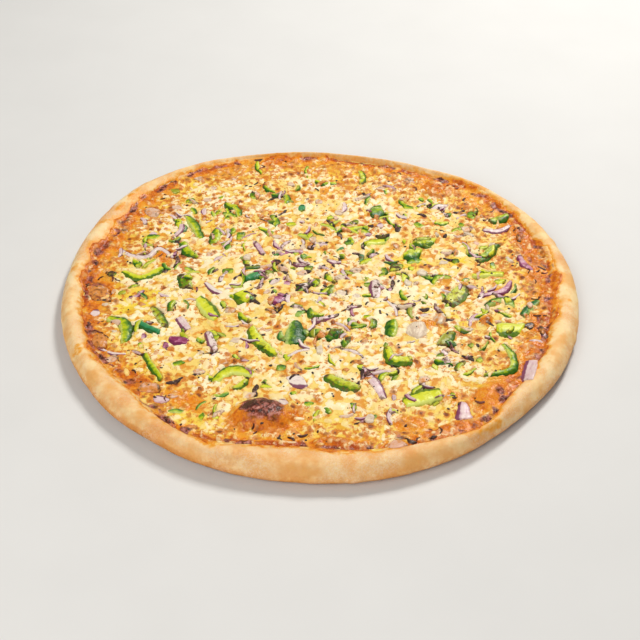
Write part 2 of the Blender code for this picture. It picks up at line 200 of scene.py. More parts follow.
def soft_step(low, high, value):
    """Rises smoothly from 0 at low to 1 at high, or falls if low is the larger."""
    share = np.clip((value - low) / (high - low), 0.0, 1.0)
    return share * share * (3.0 - 2.0 * share)


def oval(x, y, spot):
    """How far inside a turned oval each place is: 1 at its middle, 0 on its edge."""
    middle_x, middle_y, length, width, turn = spot[:5]
    dx = x - (middle_x - MIDDLE[0])
    dy = y - (middle_y - MIDDLE[1])
    cosine = math.cos(math.radians(turn))
    sine = math.sin(math.radians(turn))
    along = (dx * cosine + dy * sine) / (0.5 * length)
    across = (dy * cosine - dx * sine) / (0.5 * width)
    return 1.0 - along * along - across * across


def on_curve(before, start, end, after, t):
    """A place between start and end on a smooth curve that passes through all four."""
    return 0.5 * (
        2 * start
        + (end - before) * t
        + (2 * before - 5 * start + 4 * end - after) * t * t
        + (3 * start - before - 3 * end + after) * t ** 3
    )


def rounded_rows(levels, steps):
    """Rows of a smooth section that passes through the given levels."""
    padded = [2 * levels[0] - levels[1], *levels, 2 * levels[-1] - levels[-2]]
    rows = []
    for around in zip(padded, padded[1:], padded[2:], padded[3:]):
        rows += [on_curve(*around, step / steps) for step in range(steps)]
    rows.append(levels[-1])
    return np.array(rows)


def ring_faces(rows, count):
    """Faces between rings of points that lie above each other."""
    faces = []
    for row in range(rows - 1):
        low = row * count
        high = low + count
        for k in range(count):
            after = (k + 1) % count
            faces.append((low + k, low + after, high + after, high + k))
    return faces


def make_piece(name, points, faces, material, masks, replaced=()):
    """Make a mesh from points in mm, with its masks, riding on the pizza's one body."""
    mesh = bpy.data.meshes.new(name)
    mesh.from_pydata((np.asarray(points) * MM).tolist(), [], faces)
    mesh.update()
    mesh.shade_smooth()
    mesh.materials.append(material)
    for label, values in masks.items():
        mask = mesh.attributes.new(label, "FLOAT", "POINT")
        mask.data.foreach_set("value", np.asarray(values, dtype=np.float32).ravel())
    piece = bpy.data.objects.new(name, mesh)
    bpy.context.scene.collection.objects.link(piece)
    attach(piece, "root")
    if replaced:
        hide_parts(*replaced)
    return piece


class Recipe:
    """Shader nodes added one by one; sizes of patterns are in millimetres."""

    def __init__(self, tree):
        self.tree = tree
        self.nodes = tree.nodes
        self.links = tree.links
        self.place = self.nodes.new("ShaderNodeTexCoord").outputs["Object"]

    def connect(self, source, socket):
        if isinstance(source, bpy.types.NodeSocket):
            self.links.new(source, socket)
        elif isinstance(source, tuple):
            socket.default_value = (*source, 1.0)
        else:
            socket.default_value = source

    def mask(self, label):
        """A value kept on the points of the mesh."""
        node = self.nodes.new("ShaderNodeAttribute")
        node.attribute_name = label
        return node.outputs["Fac"]

    def math(self, operation, first, second, third=0.0):
        node = self.nodes.new("ShaderNodeMath")
        node.operation = operation
        for value, socket in zip((first, second, third), node.inputs):
            self.connect(value, socket)
        return node.outputs[0]

    def between(self, value, low, high, to_low=0.0, to_high=1.0):
        """A value moved smoothly from one range to another."""
        node = self.nodes.new("ShaderNodeMapRange")
        node.interpolation_type = "SMOOTHSTEP"
        names = ("Value", "From Min", "From Max", "To Min", "To Max")
        for label, source in zip(names, (value, low, high, to_low, to_high)):
            self.connect(source, node.inputs[label])
        return node.outputs["Result"]

    def mottle(self, size, detail, roughness=0.5, place=None, output="Fac"):
        """Cloudy unevenness in lumps about that many millimetres across."""
        node = self.nodes.new("ShaderNodeTexNoise")
        self.connect(place or self.place, node.inputs["Vector"])
        node.inputs["Scale"].default_value = 1.0 / (size * MM)
        node.inputs["Detail"].default_value = detail
        node.inputs["Roughness"].default_value = roughness
        return node.outputs[output]

    def blend(self, share, low, high):
        node = self.nodes.new("ShaderNodeMix")
        node.data_type = "RGBA"
        sockets = {socket.identifier: socket for socket in node.inputs}
        self.connect(share, sockets["Factor_Float"])
        self.connect(low, sockets["A_Color"])
        self.connect(high, sockets["B_Color"])
        return next(socket for socket in node.outputs if socket.identifier == "Result_Color")

    def ramp(self, value, stops):
        node = self.nodes.new("ShaderNodeValToRGB")
        elements = node.color_ramp.elements
        while len(elements) < len(stops):
            elements.new(0.5)
        for element, (position, colour) in zip(elements, stops):
            element.position = position
            element.color = (*colour, 1.0)
        self.connect(value, node.inputs["Fac"])
        return node.outputs["Color"]

    def use(self, effect, **inputs):
        """A shared effect, placed with values of its own."""
        node = self.nodes.new("ShaderNodeGroup")
        node.node_tree = effect
        for label, source in inputs.items():
            self.connect(source, node.inputs[label])
        return node.outputs


class Finish(Recipe):
    """A material: one shader fed by the recipe's colours, masks and bumps."""

    def __init__(self, name):
        self.material = bpy.data.materials.new(name)
        self.material.use_nodes = True
        super().__init__(self.material.node_tree)
        self.shader = self.nodes["Principled BSDF"]

    def bump(self, height, distance, strength):
        node = self.nodes.new("ShaderNodeBump")
        node.inputs["Strength"].default_value = strength
        node.inputs["Distance"].default_value = distance * MM
        self.connect(height, node.inputs["Height"])
        self.connect(node.outputs["Normal"], self.shader.inputs["Normal"])

    def done(self, colour, roughness, **constants):
        self.connect(colour, self.shader.inputs["Base Color"])
        self.connect(roughness, self.shader.inputs["Roughness"])
        for label, value in constants.items():
            self.shader.inputs[label.replace("_", " ")].default_value = value
        return self.material


def new_effect(name, inputs, outputs):
    """An empty node group; inputs give a default colour or number, outputs name the kind."""
    tree = bpy.data.node_groups.new(name, "ShaderNodeTree")
    for label, value in inputs.items():
        kind = "NodeSocketColor" if isinstance(value, tuple) else "NodeSocketFloat"
        socket = tree.interface.new_socket(label, in_out="INPUT", socket_type=kind)
        socket.default_value = (*value, 1.0) if isinstance(value, tuple) else value
    for label, kind in outputs.items():
        tree.interface.new_socket(label, in_out="OUTPUT", socket_type=f"NodeSocket{kind}")
    recipe = Recipe(tree)
    given = recipe.nodes.new("NodeGroupInput").outputs
    result = recipe.nodes.new("NodeGroupOutput").inputs
    return recipe, given, result


def make_oily_edge():
    """Orange oil that has crept over a surface, with a ragged edge and deeper pools."""
    inputs = {"Colour": (0.9, 0.7, 0.4), "Oil": 0.0, "Depth": 0.0}
    recipe, given, result = new_effect("oily_edge", inputs, {"Colour": "Color", "Wet": "Float"})
    ragged = recipe.mottle(3.4, 4.0, 0.62)
    amount = recipe.math("ADD", given["Oil"], recipe.math("MULTIPLY_ADD", ragged, 1.5, -0.75))
    share = recipe.between(amount, 0.12, 0.6)
    share = recipe.math("MULTIPLY", share, recipe.between(given["Depth"], 0.25, 1.1, 1.0, 0.3))
    shade = recipe.ramp(
        recipe.between(amount, 0.3, 1.35),
        [(0.0, (0.88, 0.40, 0.035)), (0.5, (0.80, 0.23, 0.01)), (1.0, (0.46, 0.075, 0.006))],
    )
    recipe.connect(recipe.blend(share, given["Colour"], shade), result["Colour"])
    recipe.connect(share, result["Wet"])
    return recipe.tree


oily_edge = make_oily_edge()


def baked_dough():
    """Pale dough, blushed and toasted, dusted with flour and stained with oil."""
    finish = Finish("baked_dough")
    toast = finish.mask("toast")
    stain = finish.mask("stain")
    floury = finish.mask("floury")
    blush = finish.mask("blush")
    fine = finish.mottle(2.4, 4.0, 0.6)
    dust = finish.mottle(0.8, 3.0, 0.65)
    cloud = finish.mottle(13.0, 3.0, 0.55)
    pale = finish.blend(finish.between(cloud, 0.35, 0.62), (0.85, 0.45, 0.135), (0.97, 0.72, 0.36))
    blush_share = finish.math("MULTIPLY", blush, finish.between(fine, 0.3, 0.62, 0.55, 1.0))
    blushed = finish.blend(blush_share, pale, (0.80, 0.345, 0.095))
    toast_here = finish.math("ADD", toast, finish.math("MULTIPLY_ADD", fine, 0.7, -0.35))
    toasted = finish.blend(finish.between(toast_here, 0.2, 0.8), blushed, (0.66, 0.26, 0.05))
    darker = finish.blend(finish.between(toast_here, 0.75, 1.3), toasted, (0.28, 0.09, 0.02))
    dust_share = finish.math("MULTIPLY", floury, finish.between(dust, 0.4, 0.66, 0.0, 0.33))
    dusted = finish.blend(dust_share, darker, (0.93, 0.80, 0.64))
    oily = finish.use(oily_edge, Colour=dusted, Oil=finish.math("MULTIPLY", stain, 0.8))
    roughness = finish.between(oily["Wet"], 0.0, 1.0, 0.72, 0.36)
    grain = finish.math("MULTIPLY_ADD", dust, 0.35, fine)
    finish.bump(grain, 0.6, 0.8)
    return finish.done(
        oily["Colour"], roughness, Subsurface_Weight=0.06, Subsurface_Scale=0.002, IOR=1.4
    )


def rim_levels(angles):
    """The dough's section, level by level, at each angle: radius and height."""
    outer = outline_radius(angles)
    width = rim_width(angles)
    height = rim_height(angles)
    flat = np.zeros_like(angles)
    levels = [
        (outer - 9.0, flat),
        (outer - 3.6, flat + 1.0),
        (outer - 0.8, flat + 3.4),
        (outer, flat + 6.2),
        (outer - 0.10 * width, flat + 9.4),
        (outer - 0.30 * width, height - 1.0),
        (outer - 0.55 * width, height),
        (outer - 0.82 * width, height - 1.7),
        (outer - width, flat + CHEESE_EDGE),
        (outer - width - FLOOR_TO_RIM, flat + FLOOR),
    ]
    return [np.array(level) for level in levels]


def spill(angles):
    """How far the cheese and its oil have run out over the rim, in ragged tongues."""
    turn = np.radians(angles)
    x, y = RADIUS * np.cos(turn), RADIUS * np.sin(turn)
    ragged = 2.0 + 2.4 * lumps(x, y, 3.0, 13.0) + 1.8 * lumps(x, y, 8.0, 4.5)
    return np.clip(bulged(0.0, SPILLED_TONGUES, angles) + ragged, 0.5, 11.0)


def dough_masks(x, y, height, radius, angles):
    """Where the dough is toasted, stained with oil, floury and blushed."""
    ragged = 0.5 * lumps(x, y, 0.0, 7.0) + 0.4 * lumps(x, y, 5.0, 3.0)
    past_spill = radius - inner_radius(angles) - spill(angles)
    creep = np.maximum(3.5 + 3.5 * lumps(x, y, 17.0, 10.0), 0.8)
    stain = 0.75 * soft_step(1.0, -0.3, past_spill / creep) * soft_step(4.0, 8.0, height)
    for drip in RIM_DRIPS:
        oiled = 0.62 * soft_step(-0.6, 0.9, oval(x, y, drip) + 1.6 * ragged)
        stain = np.maximum(stain, oiled * soft_step(7.0, 10.0, height))
    under = soft_step(8.0, 1.8, height + 1.2 * lumps(x, y, 28.0, 9.0))
    toast = under * soft_step(148.0, 155.0, radius)
    toast = toast * bulged(0.75, TOASTED_SIDES, angles)
    outside = soft_step(12.0, 5.0, height + 1.8 * ragged) * soft_step(154.0, 158.0, radius)
    toast = np.maximum(toast, bulged(0.0, BROWNER_SIDES, angles) * outside)
    toast = np.maximum(toast, 0.35 * soft_step(0.1, 0.6, lumps(x, y, height + 9.0, 20.0)))
    toast = np.maximum(toast, bulged(0.0, TOASTED_BACK, angles))
    blush = 0.7 * soft_step(0.0, 0.55, lumps(x, y, height + 70.0, 17.0) + 0.2 * ragged)
    blush = np.maximum(blush, bulged(0.0, WARM_SIDES, angles) * (0.8 + 0.5 * ragged))
    for spot in RIM_BLUSHES:
        inside = oval(x, y, spot) + 0.5 * ragged
        blush = np.maximum(blush, spot[5] * soft_step(-0.4, 0.8, inside))
    floury = soft_step(-0.4, 0.3, lumps(x, y, height, 15.0)) * (1.0 - stain)
    return {"toast": toast, "stain": stain, "floury": floury, "blush": blush}


def make_dough():
    """The disc with its rim: rings of points, closed at the middle below and above."""
    angles = np.arange(RIM_ANGLES) * 360.0 / RIM_ANGLES
    rows = rounded_rows(rim_levels(angles), RIM_STEPS)
    radius, height = rows[:, 0], np.maximum(rows[:, 1], 0.0)
    turn = np.radians(angles)
    x, y = radius * np.cos(turn), radius * np.sin(turn)
    relief = 0.30 * lumps(x, y, height, 11.0) + 0.14 * lumps(x, y, height + 40.0, 3.6)
    for nub_x, nub_y, size, rise in RIM_NUBS:
        inside = oval(x, y, (nub_x, nub_y, size, size, 0))
        relief += rise * np.clip(inside, 0.0, 1.0) ** 0.8
    slope_r = np.gradient(radius, axis=0)
    slope_z = np.gradient(height, axis=0)
    steep = np.hypot(slope_r, slope_z) + 1e-6
    free = soft_step(0.3, 2.5, height)
    radius = radius + free * relief * slope_z / steep
    height = height - free * relief * slope_r / steep
    x, y = radius * np.cos(turn), radius * np.sin(turn)
    masks = dough_masks(x, y, height, radius, angles)
    points = np.stack([x, y, height], axis=-1).reshape(-1, 3)
    rings = rows.shape[0]
    faces = ring_faces(rings, RIM_ANGLES)
    under = len(points)
    last = (rings - 1) * RIM_ANGLES
    points = np.vstack([points, [[0.0, 0.0, 0.0], [0.0, 0.0, FLOOR]]])
    for k in range(RIM_ANGLES):
        after = (k + 1) % RIM_ANGLES
        faces.append((after, k, under))
        faces.append((last + k, last + after, under + 1))
    middles = [0.4, 0.0]  # at the middle of the underside and of the top
    masks = {label: np.append(values.ravel(), middles) for label, values in masks.items()}
    return make_piece("dough", points, faces, baked_dough(), masks, ["crust"])


def surface_of(piece):
    """A tree of a piece's faces, in millimetres, to find what lies under a point."""
    mesh = piece.data
    flat = np.empty(3 * len(mesh.vertices))
    mesh.vertices.foreach_get("co", flat)
    corners = (flat.reshape(-1, 3) / MM).tolist()
    return BVHTree.FromPolygons(corners, [list(face.vertices) for face in mesh.polygons])


def top_of(tree, x, y):
    """The height of a surface at one place, or nothing beside it."""
    hit = tree.ray_cast(Vector((x, y, FAR_ABOVE)), Vector((0.0, 0.0, -1.0)))[0]
    return None if hit is None else hit.z


def height_under(trees, x, y):
    """The height of the highest of several surfaces at one place."""
    tops = [top_of(tree, x, y) for tree in trees]
    return max(top for top in tops if top is not None)


dough = make_dough()
dough_surface = surface_of(dough)


# The bed of cheese
# The melted layer before its shreds: it sags and swells in soft lumps, domes up over
# bubbles of steam near the rim and rises where it meets the dough. The toppings lie on it.
CHEESE_TOP = 8.2
CHEESE_EDGE_RUN = 11.0
BROAD_LUMP = 21.0
BROAD_LUMP_HEIGHT = 1.0
FINE_LUMP = 9.0
FINE_LUMP_HEIGHT = 0.6
BED_GRID = 181

# Bubbles and hollows: x, y, length, width, turn, height
BLISTERS = [
    (-32, -115, 38, 25, 0, 7.5),
    (101, -99, 26, 20, 50, 4.0),
    (8, -139, 26, 14, 0, 2.2),
    (77, -127, 30, 12, 16, 2.0),
    (87, 109, 30, 24, 0, 2.2),
    (104, -33, 10, 10, 0, 2.4),
    (-112, -12, 26, 20, 0, -0.9),
    (14, 138, 28, 16, 0, 1.4),
    (-108, 104, 22, 14, 20, 1.2),
]
DOMES = BLISTERS[:2]


def cheese_base(x, y, angles):
    """The height of the layer before its shreds: lumps, blisters and a rise to the rim."""
    broad = lumps(x, y, 2.3 * BROAD_LUMP, BROAD_LUMP)
    fine = lumps(x, y, 7.1 * FINE_LUMP, FINE_LUMP)
    height = CHEESE_TOP + BROAD_LUMP_HEIGHT * broad + FINE_LUMP_HEIGHT * fine
    for blister in BLISTERS:
        height = height + blister[5] * np.clip(oval(x, y, blister), 0.0, 1.0) ** 0.7
    to_rim = inner_radius(angles) - SIDE_GAP - np.hypot(x, y)
    share = soft_step(0.0, CHEESE_EDGE_RUN, to_rim)
    return CHEESE_EDGE + (height - CHEESE_EDGE) * share, to_rim


def cheese_grid(count):
    """A square net of points pulled into the shape of the cheese, with equal cells."""
    line = np.linspace(-1.0, 1.0, count)
    a, b = np.meshgrid(line, line)
    wide = np.abs(a) > np.abs(b)
    safe_a = np.where(a == 0.0, 1e-9, a)
    safe_b = np.where(b == 0.0, 1e-9, b)
    turn = np.where(wide, math.pi / 4 * b / safe_a, math.pi / 2 - math.pi / 4 * a / safe_b)
    reach = np.where(wide, a, b)
    flip = reach < 0.0
    angles = (np.degrees(turn) + np.where(flip, 180.0, 0.0)) % 360.0
    edge = inner_radius(angles) + spill(angles)
    radius = np.abs(reach) * edge
    turn = np.radians(angles)
    return radius * np.cos(turn), radius * np.sin(turn), angles, edge - radius


def net_faces(count):
    """Faces of a square net of points."""
    faces = []
    for row in range(count - 1):
        for column in range(count - 1):
            corner = row * count + column
            faces.append((corner, corner + 1, corner + count + 1, corner + count))
    return faces


def make_bed():
    """The surface that the toppings are laid on."""
    x, y, angles, _ = cheese_grid(BED_GRID)
    height, _ = cheese_base(x, y, angles)
    points = np.stack([x, y, height], axis=-1).reshape(-1, 3)
    return BVHTree.FromPolygons(points.tolist(), net_faces(BED_GRID))


surfaces = [make_bed(), dough_surface]


# The green pepper
# Strips and chunks of green pepper cut from rings: glossy dark skin along the outer edge,
# lime flesh in the cut and a paler lining inside, partly a painted highlight along that edge.
# Painted shade darkens them towards the skin side and down their lower sides. They lie half
# sunk in the cheese, and their thin ends charred in the oven.
PEPPER_THICKNESS = 1.8
PEPPER_CROWN = 0.25
# A strip of any topping: points round its section, distance between sections, length of its
# rounded ends, how askew they are cut, how much lower its skin side is, how deep its foot
# sinks, how much it narrows to its top and ends, and how far its charred tips reach in
SECTION = 16
STRIP_STEP = 0.8
END_ROUND = 0.7
SLANT = 1.2
SKIN_SLOPE = 0.4
SINK = 0.9
TAPER = 0.14
TIP_REACH = 3.5
# Where across a strip the height under it is felt, and how far ahead its line is looked along
UNDER = (-0.9, 0.0, 0.9)
LOOK = 0.02
# Points round a small angular chip; bits that are longer than this for their width are strips
CHIP_SIDES = 24
LONGEST_CHIP = 1.9
# From a chip's foot to its top: share of its outline, share of its thickness, upness
CHIP_LEVELS = [
    (0.92, 0.0, -1.0),
    (1.0, 0.0, 0.0),
    (1.0, 0.6, 0.4),
    (0.93, 0.92, 0.8),
    (0.65, 1.0, 1.0),
    (0.3, 1.0, 1.0),
]
# How much thinner and flatter the small bits are, and how uneven their sides
UNEVEN = 0.16
CHIP_THICKNESS = 0.7
BIT_THICKNESS = 0.65
BIT_CROWN = 0.6
# Widths at start, middle and end; the line; depth of green, olive cast, char
PEPPERS = [
    ((4, 6.5, 6), [(-127, 15), (-115, 9), (-101, 19)], (0.15, 0.2, 0.1)),
    ((7, 10, 7), [(-88, 12), (-84, -3)], (0.6, 0.0, 0.5)),
    ((7, 10.5, 8), [(-76, -11), (-70, -20), (-63, -32)], (0.05, 0.1, 0.0)),
    ((4, 6, 4), [(-104, -20), (-98, -30), (-93, -41)], (0.5, 0.5, 0.5)),
    ((4, 5.5, 5), [(-112, -35), (-104, -41), (-97, -45)], (0.85, -0.9, 0.1)),
    ((6, 8, 5), [(-130, -30), (-119, -37), (-117, -54)], (0.5, 0.1, 0.2)),
    ((3, 4.5, 3), [(-104, -64), (-99, -75), (-92, -86)], (0.4, 0.1, 0.2)),
    ((10, 12, 9), [(-51, -6), (-45, -15)], (0.15, 0.2, 0.2)),
    ((5, 8, 7), [(-47, 7), (-37, 14)], (0.8, -0.7, 0.1)),
    ((4, 13, 11), [(-14, -34), (-14, -46), (-15, -56)], (0.95, -0.2, 0.2)),
    ((6, 8.5, 6), [(-42, -41), (-36, -54), (-24, -66)], (0.15, 0.1, 0.3)),
    ((8, 10, 8), [(6, -46), (15, -46)], (0.9, 0.0, 0.4)),
    ((12, 14, 12), [(109, -42), (125, -42)], (0.1, 0.1, 0.1)),
    ((3.5, 5.5, 4), [(111, -56), (116, -66), (114, -78), (97, -84)], (0.6, 0.0, 0.2)),
    ((3.5, 6.5, 9), [(104, -20), (113, -14), (123, -17)], (0.85, 0.0, 0.2)),
    ((4, 6, 5), [(126, -30), (131, -22), (138, -14)], (0.85, -0.4, 0.3)),
    ((6, 9, 6), [(74, -57), (82, -43)], (0.4, 0.9, 0.3)),
    ((6, 8.5, 5), [(45, -33), (44, -49)], (0.7, 0.0, 0.1)),
    ((5, 8, 9), [(41, -58), (44, -69), (56, -70)], (0.15, 0.1, 0.3)),
    ((8, 13, 5), [(80, -17), (88, -9), (93, 2)], (0.05, 0.5, 0.5)),
    ((3.5, 5, 4), [(73, 2), (77, 11), (85, 9)], (0.55, 0.0, 0.1)),
    ((4, 6, 5), [(99, 11), (109, 13), (120, 14)], (0.05, 0.0, 0.0)),
    ((5, 8, 6), [(119, 45), (112, 34), (104, 26)], (0.45, -0.4, 0.4)),
    ((5, 9, 6), [(-61, -88), (-51, -78), (-38, -82)], (0.2, 0.1, 0.1)),
    ((6, 9.5, 6), [(4, -83), (13, -90), (24, -95)], (0.3, 0.5, 0.4)),
    ((9, 13, 9), [(49, -106), (59, -101), (71, -98)], (0.0, 0.0, 0.1)),
    ((4, 7, 5), [(-91, 79), (-84, 66), (-79, 52)], (0.5, 0.1, 0.2)),
    ((5, 8, 5), [(-91, 48), (-88, 38), (-81, 31)], (0.5, 0.0, 0.2)),
    ((4, 8, 5), [(-69, 64), (-71, 46)], (0.55, 0.0, 0.2)),
    ((6, 10, 8), [(63, 47), (78, 48)], (0.2, 0.2, 0.1)),
    ((6, 11, 8), [(56, 32), (68, 36)], (0.5, 0.1, 0.2)),
    ((4, 7.5, 6), [(116, 71), (124, 73), (131, 78)], (0.5, 0.0, 0.45)),
    ((8, 10, 8), [(35, 80), (45, 84)], (0.7, 0.0, 0.2)),
    ((5, 7.5, 6), [(30, 45), (38, 48), (47, 50)], (0.15, 0.1, 0.0)),
]
# Small bits: x, y, length, width, turn; depth of green, olive cast, char
PEPPER_BITS = [
    (-134, 13, 7, 5, 10, 0.9, 0.2, 0.6),
    (-92, -19, 11, 4, 85, 0.6, 0.1, 0.2),
    (-83, -73, 9, 5, 20, 0.6, 0.0, 0.2),
    (-81, -113, 9, 4, 0, 0.5, -0.4, 0.1),
    (-59, 16, 9, 7, 20, 0.6, 0.0, 0.3),
    (-46, -30, 11, 5, 130, 0.3, 0.3, 0.3),
    (-3, -45, 4, 8, 0, 0.3, 0.9, 0.2),
    (4, -5, 9, 4, 50, 0.2, 0.3, 0.1),
    (-14, -20, 8, 4, 0, 0.4, 0.5, 0.2),
    (-22, -76, 7, 5, 0, 0.7, 0.0, 0.2),
    (-66, -117, 4, 7, 0, 0.5, 0.1, 0.2),
    (-58, -117, 5, 6, 0, 0.1, 0.2, 0.1),
    (-6, -107, 9, 5, 10, 0.5, -0.3, 0.1),
    (20, -108, 5, 6, 0, 0.6, 0.0, 0.3),
    (-30, -92, 7, 4, 0, 0.2, 0.1, 0.1),
    (84, -75, 11, 4, 60, 0.5, 0.4, 0.5),
    (-102, 108, 11, 7, 0, 0.3, 0.8, 0.3),
    (-90, 96, 8, 6, 20, 0.6, 0.0, 0.3),
    (-112, 53, 11, 6, 10, 0.5, 0.1, 0.2),
    (-118, 24, 5, 6, 0, 0.5, 0.3, 0.2),
    (-43, 138, 4, 15, 15, 0.3, 0.1, 0.2),
    (-8, 133, 3, 15, 0, 0.5, 0.1, 0.2),
    (5, 119, 16, 5, -10, 0.4, 0.1, 0.2),
    (30, 126, 5, 18, 0, 0.3, 0.3, 0.4),
    (-35, 111, 12, 4, -45, 0.5, 0.0, 0.2),
    (-46, 102, 6, 8, 0, 0.7, 0.0, 0.3),
    (-23, 98, 5, 11, 0, 0.5, 0.1, 0.2),
    (-12, 87, 6, 8, 0, 0.8, -0.8, 0.2),
    (-57, 84, 5, 13, 20, 0.4, 0.1, 0.2),
    (-30, 71, 5, 12, 0, 0.5, 0.0, 0.2),
    (-19, 68, 8, 5, 0, 0.3, 0.1, 0.1),
    (-52, 55, 7, 11, 0, 0.6, 0.0, 0.3),
    (20, 46, 8, 8, 0, 0.8, 0.0, 0.4),
    (21, 62, 14, 4, -35, 0.3, 0.1, 0.1),
    (68, 67, 10, 8, 0, 0.6, -0.2, 0.2),
    (84, 70, 10, 5, 0, 0.3, 0.2, 0.2),
    (105, 78, 6, 10, 0, 0.6, 0.0, 0.3),
    (51, 20, 12, 8, 30, 0.5, 0.4, 0.5),
    (90, 36, 7, 7, 0, 0.3, 0.9, 0.3),
    (28, 31, 5, 9, 0, 0.9, -0.6, 0.4),
    (55, 10, 5, 10, 0, 0.1, 0.0, 0.1),
    (114, 22, 5, 8, 0, 0.5, 0.1, 0.3),
    (98, 41, 4, 12, 10, 0.4, 0.5, 0.3),
    (58, -25, 4, 12, 0, 0.2, 0.9, 0.2),
    (54, -8, 4, 11, 20, 0.5, 0.0, 0.2),
    (-50, 8, 2.5, 17, 0, 0.5, 0.2, 0.2),
    (-118, 0, 8, 3, 30, 0.5, 0.2, 0.3),
    (80, -20, 6, 4, 40, 0.4, 0.2, 0.2),
    (38, -84, 4, 9, -30, 0.5, 0.2, 0.3),
    (88, -80, 12, 3, 30, 0.4, 0.3, 0.4),
    (97, 67, 5, 5, 0, 0.6, 0.0, 0.2),
    (108, 83, 3, 9, -20, 0.7, 0.0, 0.5),
    (51, 70, 2.5, 16, 40, 0.5, 0.2, 0.3),
    (14, 64, 3, 13, -25, 0.4, 0.1, 0.1),
    (43, 56, 10, 4, 10, 0.9, 0.1, 0.6),
    (-64, 82, 3, 12, 0, 0.3, 0.1, 0.1),
    (-33, 58, 7, 4, 20, 0.6, 0.0, 0.2),
    (30, -30, 6, 4, 0, 0.3, 0.2, 0.1),
    (-62, -48, 5, 4, 20, 0.5, 0.1, 0.1),
    (62, 88, 8, 5, -20, 0.5, 0.0, 0.2),
    (8, 76, 6, 4, 30, 0.4, 0.1, 0.1),
    (-68, 100, 7, 4, 40, 0.5, 0.1, 0.2),
    (30, 8, 5, 4, 20, 0.3, 0.5, 0.2),
    (-84, 18, 8, 4, -30, 0.5, 0.2, 0.3),
]


class Batch:
    """Strips, chips or crumbs of one kind that become one mesh."""

    def __init__(self):
        self.points = []
        self.faces = []
        self.masks = {}

    def add(self, points, faces, masks):
        first = len(self.points)
        self.points += points
        self.faces += [tuple(first + k for k in face) for face in faces]
        for label, values in masks.items():
            self.masks.setdefault(label, []).extend(values)

    def finish(self, name, material, slot, replaced=()):
        return make_piece(name, self.points, self.faces, material, self.masks, replaced)


def smooth_line(points, share):
    """A point on a curve that passes through the given points, from share 0 to 1."""
    spans = len(points) - 1
    span = min(int(share * spans), spans - 1)
    start, end = points[span], points[span + 1]
    before = points[span - 1] if span > 0 else 2 * start - end
    after = points[span + 2] if span + 2 <= spans else 2 * end - start
    return on_curve(before, start, end, after, share * spans - span)


def strip_stations(widths, course, length, ground, uneven):
    """The sections along a strip, and the smoothed heights of what lies under them."""
    count = max(6, round(length / STRIP_STEP))
    start, middle, end = widths
    ends = course[0], course[-1]
    slants = [SLANT * noise.noise(Vector((spot.x, spot.y, 5.5))) for spot in ends]
    stations = []
    floors = []
    for k in range(count + 1):
        share = k / count
        centre = smooth_line(course, share)
        ahead = smooth_line(course, min(1.0, share + LOOK))
        ahead -= smooth_line(course, max(0.0, share - LOOK))
        ahead.normalize()
        side = Vector((-ahead.y, ahead.x))
        edge_width = start if share < 0.5 else end
        half = 0.5 * (edge_width + (middle - edge_width) * math.sin(math.pi * share))
        half *= 1.0 + uneven * noise.noise(Vector((centre.x / 5.0, centre.y / 5.0, 3.0)))
        half *= 1.0 + uneven * noise.noise(Vector((centre.x / 1.7, centre.y / 1.7, 6.0)))
        from_end = min(1.0, min(share, 1.0 - share) * length / END_ROUND)
        plump = math.sqrt(1.0 - (1.0 - from_end) ** 2)
        half *= (1.0 - TAPER) + TAPER * plump
        slant = slants[0] * max(0.0, 1.0 - 2.5 * share) + slants[1] * max(0.0, 2.5 * share - 1.5)
        spots = [centre + side * (half * aside) for aside in UNDER]
        floors.append([height_under(ground, *spot) for spot in spots])
        stations.append((centre, ahead * slant * half, side, half, 0.6 + 0.4 * plump))
    floors = np.array(floors)
    for _ in range(3):
        padded = np.pad(floors, ((1, 1), (0, 0)), mode="edge")
        floors = (padded[:-2] + padded[1:-1] + padded[2:]) / 3.0
    return stations, floors


def lay_strip(widths, line, thickness, crown, ground, tints, uneven, section=SECTION):
    """One soft piece that lies along a line: its points, its faces and its masks."""
    course = [Vector((x - MIDDLE[0], y - MIDDLE[1])) for x, y in line]
    length = sum((b - a).length for a, b in zip(course, course[1:]))
    outer_side = -1.0 if (course[1] - course[0]).cross(course[-1] - course[-2]) >= 0.0 else 1.0
    stations, floors = strip_stations(widths, course, length, ground, uneven)
    count = len(stations) - 1
    points = []
    masks = {label: [] for label in ("across", "along", "up", "tip")}
    for k, (centre, slant, side, half, plump) in enumerate(stations):
        for j in range(section):
            # A squarish section: nearly flat on its top and sides, round at its corners
            turn = math.tau * (j + 0.5) / section
            wide = math.copysign(abs(math.cos(turn)) ** 0.45, math.cos(turn))
            high = math.copysign(abs(math.sin(turn)) ** 0.5, math.sin(turn))
            spot = centre + (side * half + slant) * (wide * (1.0 - TAPER * max(0.0, high)))
            low = np.interp(wide, UNDER, floors[k])
            wave = uneven * noise.noise(Vector((spot.x / 3.5, spot.y / 3.5, 9.0)))
            rise = SINK * high
            if high > 0.0:
                rise = (thickness * plump * (1.0 + 2.5 * wave) + crown * (1.0 - wide * wide)) * high
                rise *= 1.0 - SKIN_SLOPE * soft_step(0.25, 0.9, wide * outer_side)
            points.append((spot.x, spot.y, min(low + rise, TALLEST)))
            masks["across"].append(wide * outer_side)
            masks["along"].append(length * k / count)
            masks["up"].append(high)
            masks["tip"].append(1.0 - min(1.0, min(k, count - k) / count * length / TIP_REACH))
    faces = [tuple(range(section))]
    for k in range(count):
        here, onward = k * section, (k + 1) * section
        for j in range(section):
            after = (j + 1) % section
            faces.append((here + j, onward + j, onward + after, here + after))
    faces.append(tuple(reversed(range(count * section, (count + 1) * section))))
    masks.update({label: [tint] * len(points) for label, tint in tints.items()})
    return points, faces, masks


